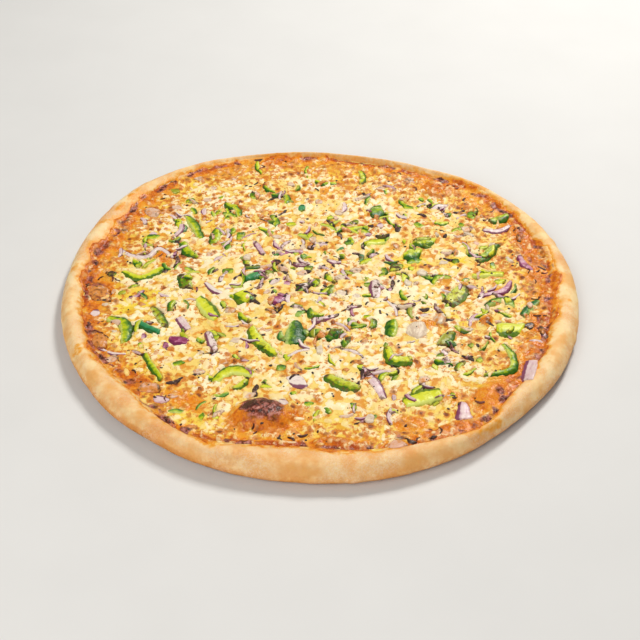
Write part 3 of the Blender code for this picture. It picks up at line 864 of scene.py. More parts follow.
def lay_chip(x, y, length, width, turn, thickness, ground, tints, draw):
    """A small angular chip with a flat top: its points, its faces and its masks."""
    x, y = x - MIDDLE[0], y - MIDDLE[1]
    corners = draw.choice((4, 4, 5, 6))
    spin = draw.uniform(0.0, math.tau)
    bounds = []
    for k in range(corners):
        corner = spin + math.tau * (k + draw.uniform(-0.25, 0.25)) / corners
        reach = draw.uniform(0.85, 1.2)
        along = 0.5 * length * reach * math.cos(corner)
        bounds.append(np.array([along, 0.5 * width * reach * math.sin(corner)]))
    outline = []
    for near, far in zip(bounds, bounds[1:] + bounds[:1]):
        steps = CHIP_SIDES // corners
        outline += [near + (far - near) * (k / steps) for k in range(steps)]
    outline = np.array(outline)
    outline = 0.5 * outline + 0.25 * (np.roll(outline, 1, axis=0) + np.roll(outline, -1, axis=0))
    cosine = math.cos(math.radians(turn))
    sine = math.sin(math.radians(turn))
    middle_height = height_under(ground, x, y)
    tilt = draw.uniform(-0.12, 0.12), draw.uniform(-0.12, 0.12)
    points = []
    masks = {label: [] for label in ("across", "along", "up", "tip")}
    for share, rise, up in CHIP_LEVELS:
        for along, across in outline * share:
            px = x + along * cosine - across * sine
            py = y + along * sine + across * cosine
            low = 0.5 * (middle_height + height_under(ground, px, py))
            low = low + tilt[0] * along + tilt[1] * across
            if up >= 0.0:
                wave = 0.25 * noise.noise(Vector((px / 2.0, py / 2.0, 4.0)))
                low += rise * thickness * (1.0 + wave)
            else:
                low -= SINK
            points.append((px, py, min(low, TALLEST)))
            masks["across"].append(across / (0.5 * width))
            masks["along"].append(along)
            masks["up"].append(up)
            masks["tip"].append(0.3)
    count = len(outline)
    faces = ring_faces(len(CHIP_LEVELS), count)
    faces.append(tuple(reversed(range(count))))
    faces.append(tuple(range(len(points) - count, len(points))))
    masks.update({label: [tint] * len(points) for label, tint in tints.items()})
    return points, faces, masks


def chip_line(x, y, length, width, turn):
    """The widths and the line of a small strip, laid along its longer side."""
    if width > length:
        length, width, turn = width, length, turn + 90.0
    dx = 0.5 * length * math.cos(math.radians(turn))
    dy = 0.5 * length * math.sin(math.radians(turn))
    bow = 0.12 * length * math.copysign(1.0, math.sin(x + 2.0 * y))
    middle = (x - bow * math.sin(math.radians(turn)), y + bow * math.cos(math.radians(turn)))
    return (0.6 * width, width, 0.7 * width), [(x - dx, y - dy), middle, (x + dx, y + dy)]


def make_char():
    """Blackened spots and tips where a thin piece scorched in the oven."""
    inputs = {"Colour": (0.5, 0.5, 0.5), "Char": 0.0, "Tip": 0.0}
    recipe, given, result = new_effect("charred_tips", inputs, {"Colour": "Color", "Dull": "Float"})
    spots = recipe.mottle(2.6, 3.0, 0.6)
    level = recipe.math("MULTIPLY_ADD", given["Char"], 0.55, recipe.math("MULTIPLY", spots, 1.1))
    burnt_tip = recipe.math("MULTIPLY", given["Tip"], given["Char"])
    level = recipe.math("MULTIPLY_ADD", burnt_tip, 0.6, level)
    brown = recipe.between(level, 0.78, 0.98, 0.0, 0.8)
    browned = recipe.blend(brown, given["Colour"], (0.20, 0.09, 0.02))
    black = recipe.between(level, 0.92, 1.1, 0.0, 0.88)
    recipe.connect(recipe.blend(black, browned, (0.024, 0.011, 0.012)), result["Colour"])
    recipe.connect(recipe.between(level, 0.8, 1.1), result["Dull"])
    return recipe.tree


charred_tips = make_char()


def green_pepper():
    """Lime flesh with dark glossy skin on one side and a pale lining, partly a painted highlight,
    on the other; painted shade darkens the skin side and the lower sides.
    """
    finish = Finish("green_pepper")
    deep = finish.mask("depth")
    olive = finish.mask("olive")
    char = finish.mask("char")
    across = finish.mask("across")
    up = finish.mask("up")
    streak = finish.mottle(3.2, 3.0, 0.55)
    fine = finish.mottle(0.9, 2.0, 0.5)
    depth = finish.math("ADD", deep, finish.math("MULTIPLY_ADD", streak, 1.5, -0.82))
    # Painted shade: darker from the inner side to the skin side, as light falls across a curved
    # piece, over the skin's own deeper green
    depth = finish.math("ADD", depth, finish.between(across, -0.8, 0.8, -0.22, 0.3))
    flesh = finish.ramp(
        depth,
        [
            (0.0, (0.70, 0.71, 0.035)),
            (0.28, (0.50, 0.55, 0.006)),
            (0.6, (0.17, 0.32, 0.006)),
            (1.0, (0.012, 0.08, 0.005)),
        ],
    )
    teal = finish.blend(finish.between(olive, -0.1, -0.9, 0.0, 0.8), flesh, (0.03, 0.28, 0.12))
    olives = finish.blend(finish.between(olive, 0.2, 1.0, 0.0, 0.8), teal, (0.26, 0.25, 0.02))
    ragged_across = finish.math("ADD", across, finish.math("MULTIPLY_ADD", streak, 0.7, -0.35))
    skin_edge = finish.between(ragged_across, 0.42, 0.6)
    skin = finish.blend(finish.math("MULTIPLY", skin_edge, 0.8), olives, (0.018, 0.105, 0.006))
    # The pale lining along the inner edge, partly a painted highlight along that edge
    lining_across = finish.math("ADD", across, finish.math("MULTIPLY_ADD", streak, 0.6, -0.3))
    lining = finish.between(lining_across, -0.5, -0.85)
    lined = finish.blend(finish.math("MULTIPLY", lining, 0.55), skin, (0.66, 0.76, 0.28))
    # Painted shade on the lower sides: cut-flesh lime on the inner side, nearly black shade under
    # the skin side
    side = finish.between(up, 0.55, 0.1, 0.0, 0.5)
    skin_side = finish.between(across, -0.2, 0.5)
    side_flesh_and_shade = finish.blend(skin_side, (0.42, 0.60, 0.08), (0.02, 0.06, 0.006))
    cut = finish.blend(side, lined, side_flesh_and_shade)
    charred = finish.use(charred_tips, Colour=cut, Char=char, Tip=finish.mask("tip"))
    roughness = finish.between(charred["Dull"], 0.0, 1.0, 0.36, 0.7)
    finish.bump(finish.math("MULTIPLY_ADD", fine, 0.4, streak), 0.5, 0.7)
    return finish.done(
        charred["Colour"], roughness, Coat_Weight=0.06, Coat_Roughness=0.2, Specular_IOR_Level=0.25
    )


laid_points = []
laid_faces = []


def remember(batch):
    """Keep a batch's faces: later pieces lie over them and the cheese laps up them."""
    first = len(laid_points)
    laid_points.extend(batch.points)
    laid_faces.extend(tuple(first + k for k in face) for face in batch.faces)
    surfaces.append(BVHTree.FromPolygons(batch.points, batch.faces))


def stray_bits(count, lengths, widths, tints, seed, farthest=128.0):
    """Fine shreds strewn over the pizza, with sizes and tints between two limits."""
    draw = random.Random(seed)
    bits = []
    for _ in range(count):
        reach = farthest * math.sqrt(draw.random())
        turn = draw.uniform(0.0, math.tau)
        place = (reach * math.cos(turn), reach * math.sin(turn))
        if max(oval(*place, dome) for dome in DOMES) > -0.4:
            continue
        size = (draw.uniform(*lengths), draw.uniform(*widths), draw.uniform(0.0, 180.0))
        bits.append((*place, *size, *(draw.uniform(*limits) for limits in tints)))
    return bits


def lay_kind(kind, pieces, bits, labels, thickness, crown, material, slot):
    """Lay each large piece of a kind as a piece of its own, and all its small bits as one."""
    for number, (widths, line, tints) in enumerate(pieces, 1):
        batch = Batch()
        tints = dict(zip(labels, tints))
        batch.add(*lay_strip(widths, line, thickness, crown, surfaces, tints, UNEVEN))
        remember(batch)
        batch.finish(f"{kind}_piece_{number:02d}", material, slot, [f"{kind}_{number:02d}"])
    batch = Batch()
    draw = random.Random(len(bits))
    chip_thickness = CHIP_THICKNESS * thickness
    bit_shape = BIT_THICKNESS * thickness, BIT_CROWN * crown
    for x, y, length, width, turn, *tints in bits:
        tints = dict(zip(labels, tints))
        if max(length, width) < LONGEST_CHIP * min(length, width):
            batch.add(*lay_chip(x, y, length, width, turn, chip_thickness, surfaces, tints, draw))
        else:
            widths, line = chip_line(x, y, length, width, turn)
            batch.add(*lay_strip(widths, line, *bit_shape, surfaces, tints, 1.5 * UNEVEN))
    remember(batch)
    batch.finish(f"{kind}_bits", material, slot)


PEPPER_BITS += stray_bits(
    150, (4.0, 12.0), (2.0, 5.5), ((0.0, 0.9), (-0.4, 0.7), (0.0, 0.35)), seed=3
)
PEPPER_BITS += stray_bits(
    38, (5.0, 11.0), (2.5, 5.5), ((0.1, 0.9), (-0.8, 0.7), (0.0, 0.5)), seed=13, farthest=58.0
)
lay_kind(
    "pepper", PEPPERS, PEPPER_BITS, ("depth", "olive", "char"),
    PEPPER_THICKNESS, PEPPER_CROWN, green_pepper(), "green_pepper",
)


# The red onion
# Slivers of red onion, thin and springy, with lines along them where the layers were cut.
# Most have faded to lilac in the oven, with purple left along the skin side and magenta
# where a thick layer kept its colour.
ONION_THICKNESS = 1.1
ONION_CROWN = 0.0
# Widths at start, middle and end; the line; purple, paleness, char
ONIONS = [
    ((5, 7.5, 5), [(-87, -30), (-80, -42)], (0.45, 0.2, 0.2)),
    ((5, 7.5, 5), [(-91, -50), (-79, -54)], (1.0, 0.0, 0.0)),
    ((4, 6, 4), [(-68, -43), (-62, -62)], (0.4, 0.3, 0.4)),
    ((3, 4.5, 3), [(-73, 5), (-67, -3), (-61, -7)], (0.15, 0.8, 0.1)),
    ((5, 7.5, 5), [(-30, -16), (-22, -10)], (0.95, 0.0, 0.1)),
    ((3, 5, 3), [(-5, -33), (2, -32), (13, -27)], (0.5, 0.2, 0.4)),
    ((5, 8, 5), [(36, 7), (36, -11)], (0.35, 0.4, 0.4)),
    ((2.5, 5, 2.5), [(124, 6), (118, -4), (104, -9)], (0.75, 0.1, 0.2)),
    ((3.5, 5.5, 4), [(132, 33), (134, 24), (139, 16)], (0.8, 0.0, 0.3)),
    ((7, 8.5, 7), [(127, -70), (121, -90)], (0.5, 0.2, 0.1)),
    ((3.5, 6.5, 4), [(27, -77), (34, -91), (38, -102)], (0.55, 0.2, 0.3)),
    ((7, 12, 7), [(-18, -87), (-7, -89)], (0.2, 0.8, 0.1)),
    ((3, 4.5, 3), [(-131, 39), (-123, 33), (-113, 32), (-106, 41), (-96, 31)], (0.35, 0.55, 0.2)),
    ((3, 4.5, 3), [(-43, 49), (-40, 42), (-36, 34)], (0.7, 0.1, 0.3)),
    ((4, 5.5, 3), [(-26, 34), (-18, 38), (-10, 38)], (0.8, 0.1, 0.2)),
    ((3, 5, 3), [(131, 67), (121, 60), (111, 62)], (0.5, 0.3, 0.3)),
    ((4, 8, 12), [(83, -105), (82, -119)], (0.6, 0.2, 0.2)),
]
# Small bits: x, y, length, width, turn; purple, paleness, char
ONION_BITS = [
    (-20, 4, 7, 6, 0, 0.8, 0.1, 0.2),
    (-95, 62, 4, 14, -15, 0.6, 0.3, 0.1),
    (-62, 58, 3, 13, 0, 0.2, 0.8, 0.0),
    (-28, 27, 7, 6, 0, 0.9, 0.0, 0.7),
    (36, 66, 6, 5, 20, 0.9, 0.0, 0.8),
    (42, 67, 6, 5, 20, 0.5, 0.3, 0.1),
    (71, 79, 7, 3, -20, 0.9, 0.0, 0.8),
    (97, 83, 9, 2.5, 15, 0.8, 0.0, 0.8),
    (46, -21, 3, 16, 20, 0.3, 0.7, 0.1),
    (66, -22, 7, 3.5, 10, 0.7, 0.0, 0.8),
    (66, -28, 6, 4, 0, 0.4, 0.4, 0.1),
    (76, -70, 6, 8, 0, 0.6, 0.2, 0.5),
    (76, -62, 6, 7, 20, 0.5, 0.4, 0.2),
    (96, -32, 3, 14, -25, 0.6, 0.2, 0.2),
    (-139, -26, 6, 7, 0, 0.4, 0.4, 0.1),
    (41, -117, 3, 12, 0, 0.5, 0.3, 0.3),
    (57, 78, 10, 3, -45, 0.3, 0.7, 0.1),
    (84, 88, 12, 4, 20, 0.3, 0.7, 0.1),
    (53, 64, 4, 8, 0, 0.8, 0.0, 0.8),
    (-92, -57, 5, 8, 20, 0.9, 0.1, 0.1),
    (-107, -48, 3, 6, 0, 0.8, 0.1, 0.2),
    (-124, -61, 18, 2.5, -15, 0.4, 0.5, 0.1),
    (-91, -103, 11, 7, -20, 0.6, 0.2, 0.0),
    (-19, -12, 4, 8, 0, 0.4, 0.4, 0.0),
    (-44, -57, 2.5, 8, 0, 0.8, 0.1, 0.2),
    (46, -3, 2.5, 8, -25, 0.8, 0.1, 0.3),
    (138, -46, 4, 10, 10, 0.6, 0.2, 0.4),
    (132, -53, 9, 3, -12, 0.5, 0.3, 0.2),
    (24, -85, 3, 14, -15, 0.9, 0.0, 0.7),
    (29, -82, 5, 4, 0, 0.8, 0.0, 0.6),
    (-20, -107, 6, 9, 0, 0.4, 0.4, 0.0),
    (-132, 37, 3, 10, 0, 0.5, 0.3, 0.2),
    (-112, 58, 6, 5, 0, 0.6, 0.2, 0.2),
    (-79, 84, 4, 8, 0, 0.5, 0.3, 0.2),
    (-27, 45, 3, 13, 30, 0.7, 0.1, 0.3),
    (-8, 63, 2.5, 13, -15, 0.7, 0.2, 0.3),
    (-30, 89, 3, 8, 0, 0.6, 0.3, 0.2),
    (98, 42, 2.5, 14, 15, 0.6, 0.2, 0.4),
    (20, -62, 15, 3, -25, 0.4, 0.5, 0.4),
    (-12, -63, 15, 3, 30, 0.3, 0.6, 0.2),
    (-120, 72, 4, 10, 20, 0.5, 0.3, 0.3),
    (-66, 30, 8, 3, 40, 0.6, 0.3, 0.2),
    (-98, -8, 9, 3, -30, 0.5, 0.4, 0.3),
    (10, 28, 10, 4, -10, 0.5, 0.3, 0.3),
    (-12, 24, 10, 4, -20, 0.6, 0.2, 0.4),
]


def red_onion():
    """Lilac flesh with fine lines along it and a purple edge of skin."""
    finish = Finish("red_onion")
    purple = finish.mask("purple")
    pale = finish.mask("paleness")
    char = finish.mask("char")
    across = finish.mask("across")
    along = finish.mask("along")
    fibres = finish.nodes.new("ShaderNodeCombineXYZ")
    finish.connect(finish.math("MULTIPLY", along, 0.12 * MM), fibres.inputs["X"])
    finish.connect(finish.math("MULTIPLY", across, 3.0 * MM), fibres.inputs["Y"])
    finish.connect(finish.math("MULTIPLY", purple, 9.0 * MM), fibres.inputs["Z"])
    lines = finish.mottle(0.8, 3.0, 0.6, fibres.outputs[0])
    patch = finish.mottle(4.0, 2.0, 0.5)
    body = finish.ramp(
        finish.math("ADD", purple, finish.math("MULTIPLY_ADD", patch, 1.0, -0.5)),
        [
            (0.25, (0.84, 0.69, 0.61)),
            (0.65, (0.71, 0.47, 0.50)),
            (0.9, (0.47, 0.13, 0.25)),
            (1.0, (0.26, 0.03, 0.10)),
        ],
    )
    faded = finish.blend(finish.math("MULTIPLY", pale, 0.75), body, (0.86, 0.76, 0.66))
    veined = finish.blend(finish.between(lines, 0.52, 0.66, 0.0, 0.4), faded, (0.44, 0.16, 0.24))
    skin = finish.between(finish.math("MULTIPLY_ADD", patch, 0.4, across), 0.62, 0.86, 0.0, 0.92)
    edged = finish.blend(skin, veined, (0.17, 0.018, 0.075))
    charred = finish.use(charred_tips, Colour=edged, Char=char, Tip=finish.mask("tip"))
    roughness = finish.between(charred["Dull"], 0.0, 1.0, 0.3, 0.7)
    finish.bump(lines, 0.35, 0.6)
    return finish.done(
        charred["Colour"], roughness, Coat_Weight=0.06, Coat_Roughness=0.2, Specular_IOR_Level=0.25
    )


ONION_BITS += stray_bits(
    150, (4.0, 13.0), (1.3, 3.4), ((0.2, 1.0), (0.0, 0.8), (0.0, 1.0)), seed=7
)
ONION_BITS += stray_bits(
    50, (4.0, 13.0), (1.4, 3.4), ((0.1, 1.0), (0.0, 0.9), (0.0, 0.9)), seed=17, farthest=58.0
)
lay_kind(
    "onion", ONIONS, ONION_BITS, ("purple", "paleness", "char"),
    ONION_THICKNESS, ONION_CROWN, red_onion(), "red_onion",
)


# The chicken
# Pulled and diced chicken in barbecue sauce: soft fibrous lumps, beige to pink inside and
# orange-brown where the sauce baked on; sauced pieces darken down their lower sides, partly
# dark glaze and partly painted shade.
CHICKEN_THICKNESS = 1.7
CHICKEN_CROWN = 0.4
# Widths at start, middle and end; the line; sauce, pinkness, char
CHICKEN = [
    ((9, 14, 10), [(-142, 0), (-136, -14)], (0.9, 0.6, 0.35)),
    ((6, 9, 5), [(-134, -47), (-131, -59)], (0.8, 0.8, 0.3)),
    ((7, 9, 6), [(-104, -93), (-92, -93)], (0.65, 0.9, 0.3)),
    ((6, 10, 7), [(-119, 86), (-110, 79)], (0.3, 0.6, 0.3)),
    ((9, 14, 7), [(61, -35), (59, -50)], (0.1, 0.1, 0.1)),
    ((4, 8, 5), [(76, -27), (74, -37)], (0.5, 0.0, 0.1)),
    ((6, 10, 5), [(39, -141), (48, -139)], (0.35, 0.9, 0.2)),
]
# Small bits: x, y, length, width, turn; sauce, pinkness, char
CHICKEN_BITS = [
    (-123, -69, 9, 6, 60, 0.4, 0.6, 0.3),
    (29, -119, 6, 8, 0, 0.1, 0.1, 0.1),
    (14, 10, 7, 7, 0, 0.1, 0.2, 0.3),
    (14, -7, 7, 8, 0, 0.0, 0.1, 0.2),
    (24, 17, 8, 6, 0, 0.1, 0.2, 0.3),
    (1, -60, 6, 10, 0, 0.0, 0.0, 0.1),
    (2, -48, 6, 9, 0, 0.8, 0.6, 0.1),
    (-11, 14, 8, 6, 0, 0.3, 0.5, 0.2),
    (-47, 30, 6, 6, 0, 0.0, 0.1, 0.2),
    (-40, -100, 8, 5, 30, 0.2, 0.4, 0.1),
    (-98, 88, 8, 6, 0, 0.2, 0.5, 0.1),
    (0, 95, 7, 5, 0, 0.4, 0.3, 0.2),
    (60, 98, 8, 5, 30, 0.5, 0.3, 0.3),
    (-75, 112, 7, 6, 0, 0.5, 0.3, 0.3),
    (50, 128, 7, 6, 0, 0.6, 0.3, 0.3),
    (28, -53, 9, 5, 70, 0.6, 0.4, 0.3),
    (-70, -80, 8, 5, 10, 0.3, 0.4, 0.2),
    (-84, -100, 8, 5, 0, 0.5, 0.6, 0.2),
    (136, -43, 4, 8, 0, 0.9, 0.5, 0.5),
    (134, 52, 3, 9, 0, 0.9, 0.4, 0.5),
    (-57, -71, 8, 6, 20, 0.4, 0.4, 0.2),
    (24, -10, 6, 7, 0, 0.0, 0.1, 0.2),
    (57, 4, 6, 6, 0, 0.0, 0.0, 0.0),
    (67, 13, 8, 6, 0, 0.0, 0.0, 0.0),
    (-23, 20, 9, 4, -40, 0.4, 0.6, 0.1),
    (-55, -24, 8, 6, 0, 0.5, 0.2, 0.3),
    (62, -86, 9, 6, 20, 0.5, 0.2, 0.2),
    (-61, 125, 8, 6, 0, 0.6, 0.3, 0.3),
    (-20, 117, 7, 5, 0, 0.4, 0.3, 0.2),
    (44, 111, 8, 6, 30, 0.5, 0.2, 0.3),
    (-86, 124, 8, 6, 0, 0.5, 0.3, 0.3),
    (28, 98, 7, 6, 0, 0.3, 0.3, 0.2),
    (14, 82, 7, 6, 0, 0.3, 0.2, 0.2),
    (-78, 97, 7, 6, 0, 0.4, 0.3, 0.2),
    (100, 62, 7, 6, 0, 0.3, 0.2, 0.2),
    (-131, 60, 6, 8, 0, 0.7, 0.4, 0.4),
    (-28, 54, 7, 5, 0, 0.2, 0.2, 0.1),
    (-4, 51, 5, 8, 0, 0.3, 0.3, 0.2),
    (-51, -52, 8, 6, 0, 0.2, 0.2, 0.1),
    (64, 122, 8, 6, 0, 0.5, 0.3, 0.3),
    (-72, 34, 8, 5, 20, 0.5, 0.4, 0.2),
    (82, 26, 8, 6, 0, 0.1, 0.1, 0.1),
    (130, -38, 6, 7, 0, 0.9, 0.3, 0.7),
    (133, 42, 3, 8, 20, 0.8, 0.5, 0.4),
    (51, -136, 7, 3, -35, 0.9, 0.1, 0.9),
    (-30, -25, 9, 3, -40, 0.6, 0.5, 0.4),
]


def pulled_chicken():
    """Fibrous pale meat, rosy in places, with sauce baked on and painted shade down its sauced
    lower sides.
    """
    finish = Finish("pulled_chicken")
    sauce = finish.mask("sauce")
    pink = finish.mask("pinkness")
    char = finish.mask("char")
    up = finish.mask("up")
    fibres = finish.nodes.new("ShaderNodeCombineXYZ")
    finish.connect(finish.math("MULTIPLY", finish.mask("along"), 0.2 * MM), fibres.inputs["X"])
    finish.connect(finish.math("MULTIPLY", finish.mask("across"), 4.0 * MM), fibres.inputs["Y"])
    finish.connect(finish.math("MULTIPLY", up, 2.0 * MM), fibres.inputs["Z"])
    strands = finish.mottle(1.0, 3.0, 0.6, fibres.outputs[0])
    patch = finish.mottle(3.5, 3.0, 0.6)
    meat = finish.blend(finish.between(strands, 0.35, 0.65), (0.60, 0.46, 0.32), (0.84, 0.72, 0.52))
    rosy = finish.blend(finish.math("MULTIPLY", pink, 0.7), meat, (0.80, 0.36, 0.24))
    sauced = finish.math("ADD", sauce, finish.math("MULTIPLY_ADD", patch, 2.2, -1.1))
    baked_on = finish.between(sauced, 0.8, 1.3)
    glaze_tone = finish.blend(baked_on, (0.70, 0.25, 0.03), (0.24, 0.045, 0.01))
    glazed = finish.blend(finish.between(sauced, 0.25, 0.8, 0.0, 0.95), rosy, glaze_tone)
    # Painted shade: sauced pieces darken down their lower sides, partly dark glaze and partly shade
    # under them
    low = finish.between(up, 0.7, -0.1, 0.0, 0.5)
    edged = finish.blend(finish.math("MULTIPLY", low, sauce), glazed, (0.22, 0.04, 0.01))
    charred = finish.use(charred_tips, Colour=edged, Char=char, Tip=finish.mask("tip"))
    roughness = finish.between(sauced, 0.2, 0.9, 0.5, 0.3)
    finish.bump(finish.math("MULTIPLY_ADD", patch, 0.6, strands), 0.35, 0.6)
    return finish.done(
        charred["Colour"], roughness, Coat_Weight=0.06, Coat_Roughness=0.25, Specular_IOR_Level=0.4
    )


CHICKEN_BITS += stray_bits(
    70, (4.0, 9.0), (2.0, 4.5), ((0.1, 0.8), (0.0, 0.8), (0.0, 0.4)), seed=9, farthest=138.0
)
lay_kind(
    "chicken", CHICKEN, CHICKEN_BITS, ("sauce", "pinkness", "char"),
    CHICKEN_THICKNESS, CHICKEN_CROWN, pulled_chicken(), "chicken",
)


# The sauce and the cheese
# Orange-red barbecue sauce shows as an oily ring where the cheese stops short of the rim.
# Over it lies grated cheese that melted into one layer: pale lumpy shreds with browned
# tips, yellow pools of fat between them, and bubbles that rose near the rim and scorched.
CHEESE_GRID = 309
SHRED_COUNT = 4300
SHRED_LENGTHS = (3.0, 9.0)
SHRED_HALF_WIDTHS = (1.2, 2.6)
SHRED_RISES = (0.35, 1.25)
SHRED_BENDS = (-0.05, 0.05)
SHRED_CELL = 8.0
SHREDS_OUT_TO = 156.0
FRECKLE_SPACING = 4.9
FRECKLE_WARP = 3.4
# The film of cheese and oil that runs over the rim
FILM = 0.55
# How deep the cheese is pressed under a topping, and how far it laps up its sides
PRESSED = 0.7
LAP = 0.12
# Squares in which the toppings are felt from above: their size, and how far out they go
RASTER_STEP = 0.5
RASTER_REACH = 166.0
# The layer's hidden edge: its thin lip over the rim, and where it folds under
LIP = 0.35
FOLD_LEVEL = 8.6

# Where orange oil covers the cheese: x, y, length, width, turn, strength
OILY_PATCHES = [
    (-30, -120, 54, 26, 0, 0.9),
    (101, -101, 34, 26, 50, 0.75),
    (8, -140, 36, 18, 0, 1.0),
    (76, -128, 44, 15, 16, 0.95),
    (84, 113, 36, 20, 0, 0.95),
    (107, 112, 18, 9, -40, 0.8),
    (-75, -104, 38, 16, -35, 0.75),
    (-108, -86, 26, 15, -45, 1.0),
    (-134, -58, 22, 12, -70, 1.0),
    (-142, -35, 14, 34, 0, 0.8),
    (-140, -3, 24, 24, 0, 1.0),
    (-147, 30, 10, 34, 0, 0.9),
    (-140, 58, 12, 30, -15, 0.75),
    (-128, 86, 13, 26, -25, 0.75),
    (-103, 32, 12, 12, 0, 0.8),
    (-76, 40, 10, 10, 0, 0.5),
    (133, -66, 14, 26, 20, 1.0),
    (137, -30, 14, 30, 0, 0.8),
    (141, 15, 18, 26, 0, 0.85),
    (136, 45, 14, 40, 10, 0.95),
    (-60, 134, 44, 12, 12, 0.4),
    (-24, 146, 20, 8, 0, 0.3),
    (14, 148, 20, 7, 0, 0.45),
    (52, 140, 30, 8, -14, 0.3),
    (4, 106, 8, 30, 0, 0.5),
    (16, 136, 24, 12, 0, 0.35),
    (-116, 104, 30, 12, 50, 0.6),
    (76, -102, 14, 16, 0, 0.6),
    (52, -122, 20, 14, 0, 0.7),
    (8, -60, 14, 5, -20, 0.6),
    (68, -35, 10, 12, 0, 0.6),
    (104, -34, 9, 9, 0, 0.9),
]
# How wide the oily ring inside the rim is, and where it widens: angle, spread, amount
OILY_RING = 4.5
OILY_RING_BULGES = [
    (180, 38, 9.0),
    (0, 40, 8.0),
    (90, 45, 4.0),
    (330, 18, 6.0),
    (270, 25, 4.0),
]
# Round the rim, where more or less oil shows: angle, spread, amount
OILY_SIDES = [
    (180, 35, 0.5),
    (0, 35, 0.4),
    (232, 22, -0.35),
    (280, 20, 0.3),
    (90, 45, 0.2),
]
# Where brown sauce shows or the cheese caught: x, y, length, width, turn, strength
SCORCHES = [
    (-31, -114, 30, 25, 0, 1.0),
    (-39, -113, 15, 9, 25, 1.6),
    (-29, -110, 18, 6, -5, 1.3),
    (105, -97, 8, 7, 0, 0.9),
    (104, -34, 6, 6, 0, 0.6),
    (-47, -67, 8, 6, 0, 0.7),
    (-70, -63, 8, 6, 0, 0.5),
    (-55, -23, 9, 5, 0, 0.35),
    (62, -86, 9, 6, 0, 0.4),
    (70, -105, 7, 6, 0, 0.5),
    (-137, -56, 12, 6, -60, 0.8),
    (-109, -88, 9, 6, -45, 0.7),
    (-141, 2, 12, 9, 0, 0.75),
    (131, -68, 7, 16, 20, 0.7),
    (137, -33, 6, 12, 0, 0.6),
    (136, 55, 6, 14, 0, 0.6),
    (8, -60, 10, 3, -20, 0.5),
    (85, 112, 12, 10, 0, 0.25),
    (46, -133, 8, 6, 0, 0.8),
    (-98, 0, 8, 6, 0, 0.6),
    (-139, -44, 7, 12, -70, 0.8),
    (-141, 44, 6, 12, -20, 0.7),
    (-133, 66, 6, 10, 30, 0.6),
    (-126, -70, 12, 6, -50, 0.8),
    (-117, -79, 8, 5, -40, 0.6),
    (136, 0, 6, 10, 0, 0.6),
    (139, 28, 5, 12, 0, 0.7),
    (127, -78, 8, 6, 40, 0.7),
    (-91, -3, 6, 5, 0, 0.6),
]
# Clear yellow pools of fat: x, y, length, width, turn
POOLS = [
    (-112, -12, 34, 26, 0),
    (-121, -20, 20, 14, 0),
    (92, 27, 22, 12, 0),
    (84, -30, 26, 7, -50),
    (20, 130, 30, 20, 0),
    (60, 25, 30, 20, 0),
    (-75, 70, 30, 20, 0),
]


def blurred(field, reach):
    """A field softened over a few cells in both directions."""
    weights = np.exp(-0.5 * (np.arange(-3 * reach, 3 * reach + 1) / reach) ** 2)
    weights /= weights.sum()
    for _ in range(2):
        field = np.array([np.convolve(row, weights, "same") for row in field]).T
    return field


def read_field(field, x, y):
    """The value of a field of square cells at each place, blended between cells."""
    column = (x + RASTER_REACH) / RASTER_STEP
    row = (y + RASTER_REACH) / RASTER_STEP
    c, r = np.floor(column).astype(int), np.floor(row).astype(int)
    s, t = column - c, row - r
    near = field[r, c] * (1.0 - s) + field[r, c + 1] * s
    far = field[r + 1, c] * (1.0 - s) + field[r + 1, c + 1] * s
    return near * (1.0 - t) + far * t


def press_of_toppings():
    """Fields: how near each place is to a topping, 1 well inside it, and how high it is."""
    line = np.arange(-RASTER_REACH, RASTER_REACH + 1.0, RASTER_STEP)
    tree = BVHTree.FromPolygons(laid_points, laid_faces)
    tops = np.array([[top_of(tree, x, y) or 0.0 for x in line] for y in line])
    covered = (tops > 0.0).astype(float)
    nearness = blurred(covered, 3)
    return nearness, blurred(tops, 3) / np.maximum(nearness, 1e-6)


near_field, top_field = press_of_toppings()


def melt_shreds(x, y, keep):
    """Stamp melted shreds into the layer: their height, and each one's own tone."""
    draw = random.Random(5)
    flat_x, flat_y = x.ravel(), y.ravel()
    relief = np.zeros(flat_x.shape)
    tone = np.zeros(flat_x.shape)
    cells = {}
    columns, rows = (np.floor(flat / SHRED_CELL).astype(int) for flat in (flat_x, flat_y))
    for k, cell in enumerate(zip(columns, rows)):
        cells.setdefault(cell, []).append(k)
    cells = {cell: np.array(members) for cell, members in cells.items()}
    for _ in range(SHRED_COUNT):
        radius = SHREDS_OUT_TO * math.sqrt(draw.random())
        turn = draw.uniform(0.0, math.tau)
        middle_x, middle_y = radius * math.cos(turn), radius * math.sin(turn)
        length = draw.uniform(*SHRED_LENGTHS)
        half = draw.uniform(*SHRED_HALF_WIDTHS)
        rise = draw.uniform(*SHRED_RISES)
        lean = draw.uniform(0.0, math.pi)
        bend = draw.uniform(*SHRED_BENDS)
        shade = draw.uniform(-1.0, 1.0)
        column, row = math.floor(middle_x / SHRED_CELL), math.floor(middle_y / SHRED_CELL)
        beside = [(column + c, row + r) for c in (-1, 0, 1) for r in (-1, 0, 1)]
        around = [cells[cell] for cell in beside if cell in cells]
        if not around:
            continue
        near = np.concatenate(around)
        dx = flat_x[near] - middle_x
        dy = flat_y[near] - middle_y
        along = dx * math.cos(lean) + dy * math.sin(lean)
        across = dy * math.cos(lean) - dx * math.sin(lean) + bend * along * along
        past_end = np.maximum(np.abs(along) - 0.5 * length + half, 0.0)
        away = np.hypot(past_end, across) / half
        stamped = rise * np.clip(1.0 - away * away, 0.0, 1.0) ** 0.9
        higher = stamped > relief[near]
        relief[near] = np.where(higher, stamped, relief[near])
        tone[near] = np.where(higher, shade, tone[near])
    return (relief * keep.ravel()).reshape(x.shape), tone.reshape(x.shape)


def spread_of(x, y, spots, ragged, soft=0.6):
    """The strongest of a list of soft patches with ragged edges at each place."""
    total = np.zeros(x.shape)
    for spot in spots:
        strength = spot[5] if len(spot) > 5 else 1.0
        inside = oval(x, y, spot) + ragged
        total = np.maximum(total, strength * soft_step(-0.15, soft, inside))
    return total


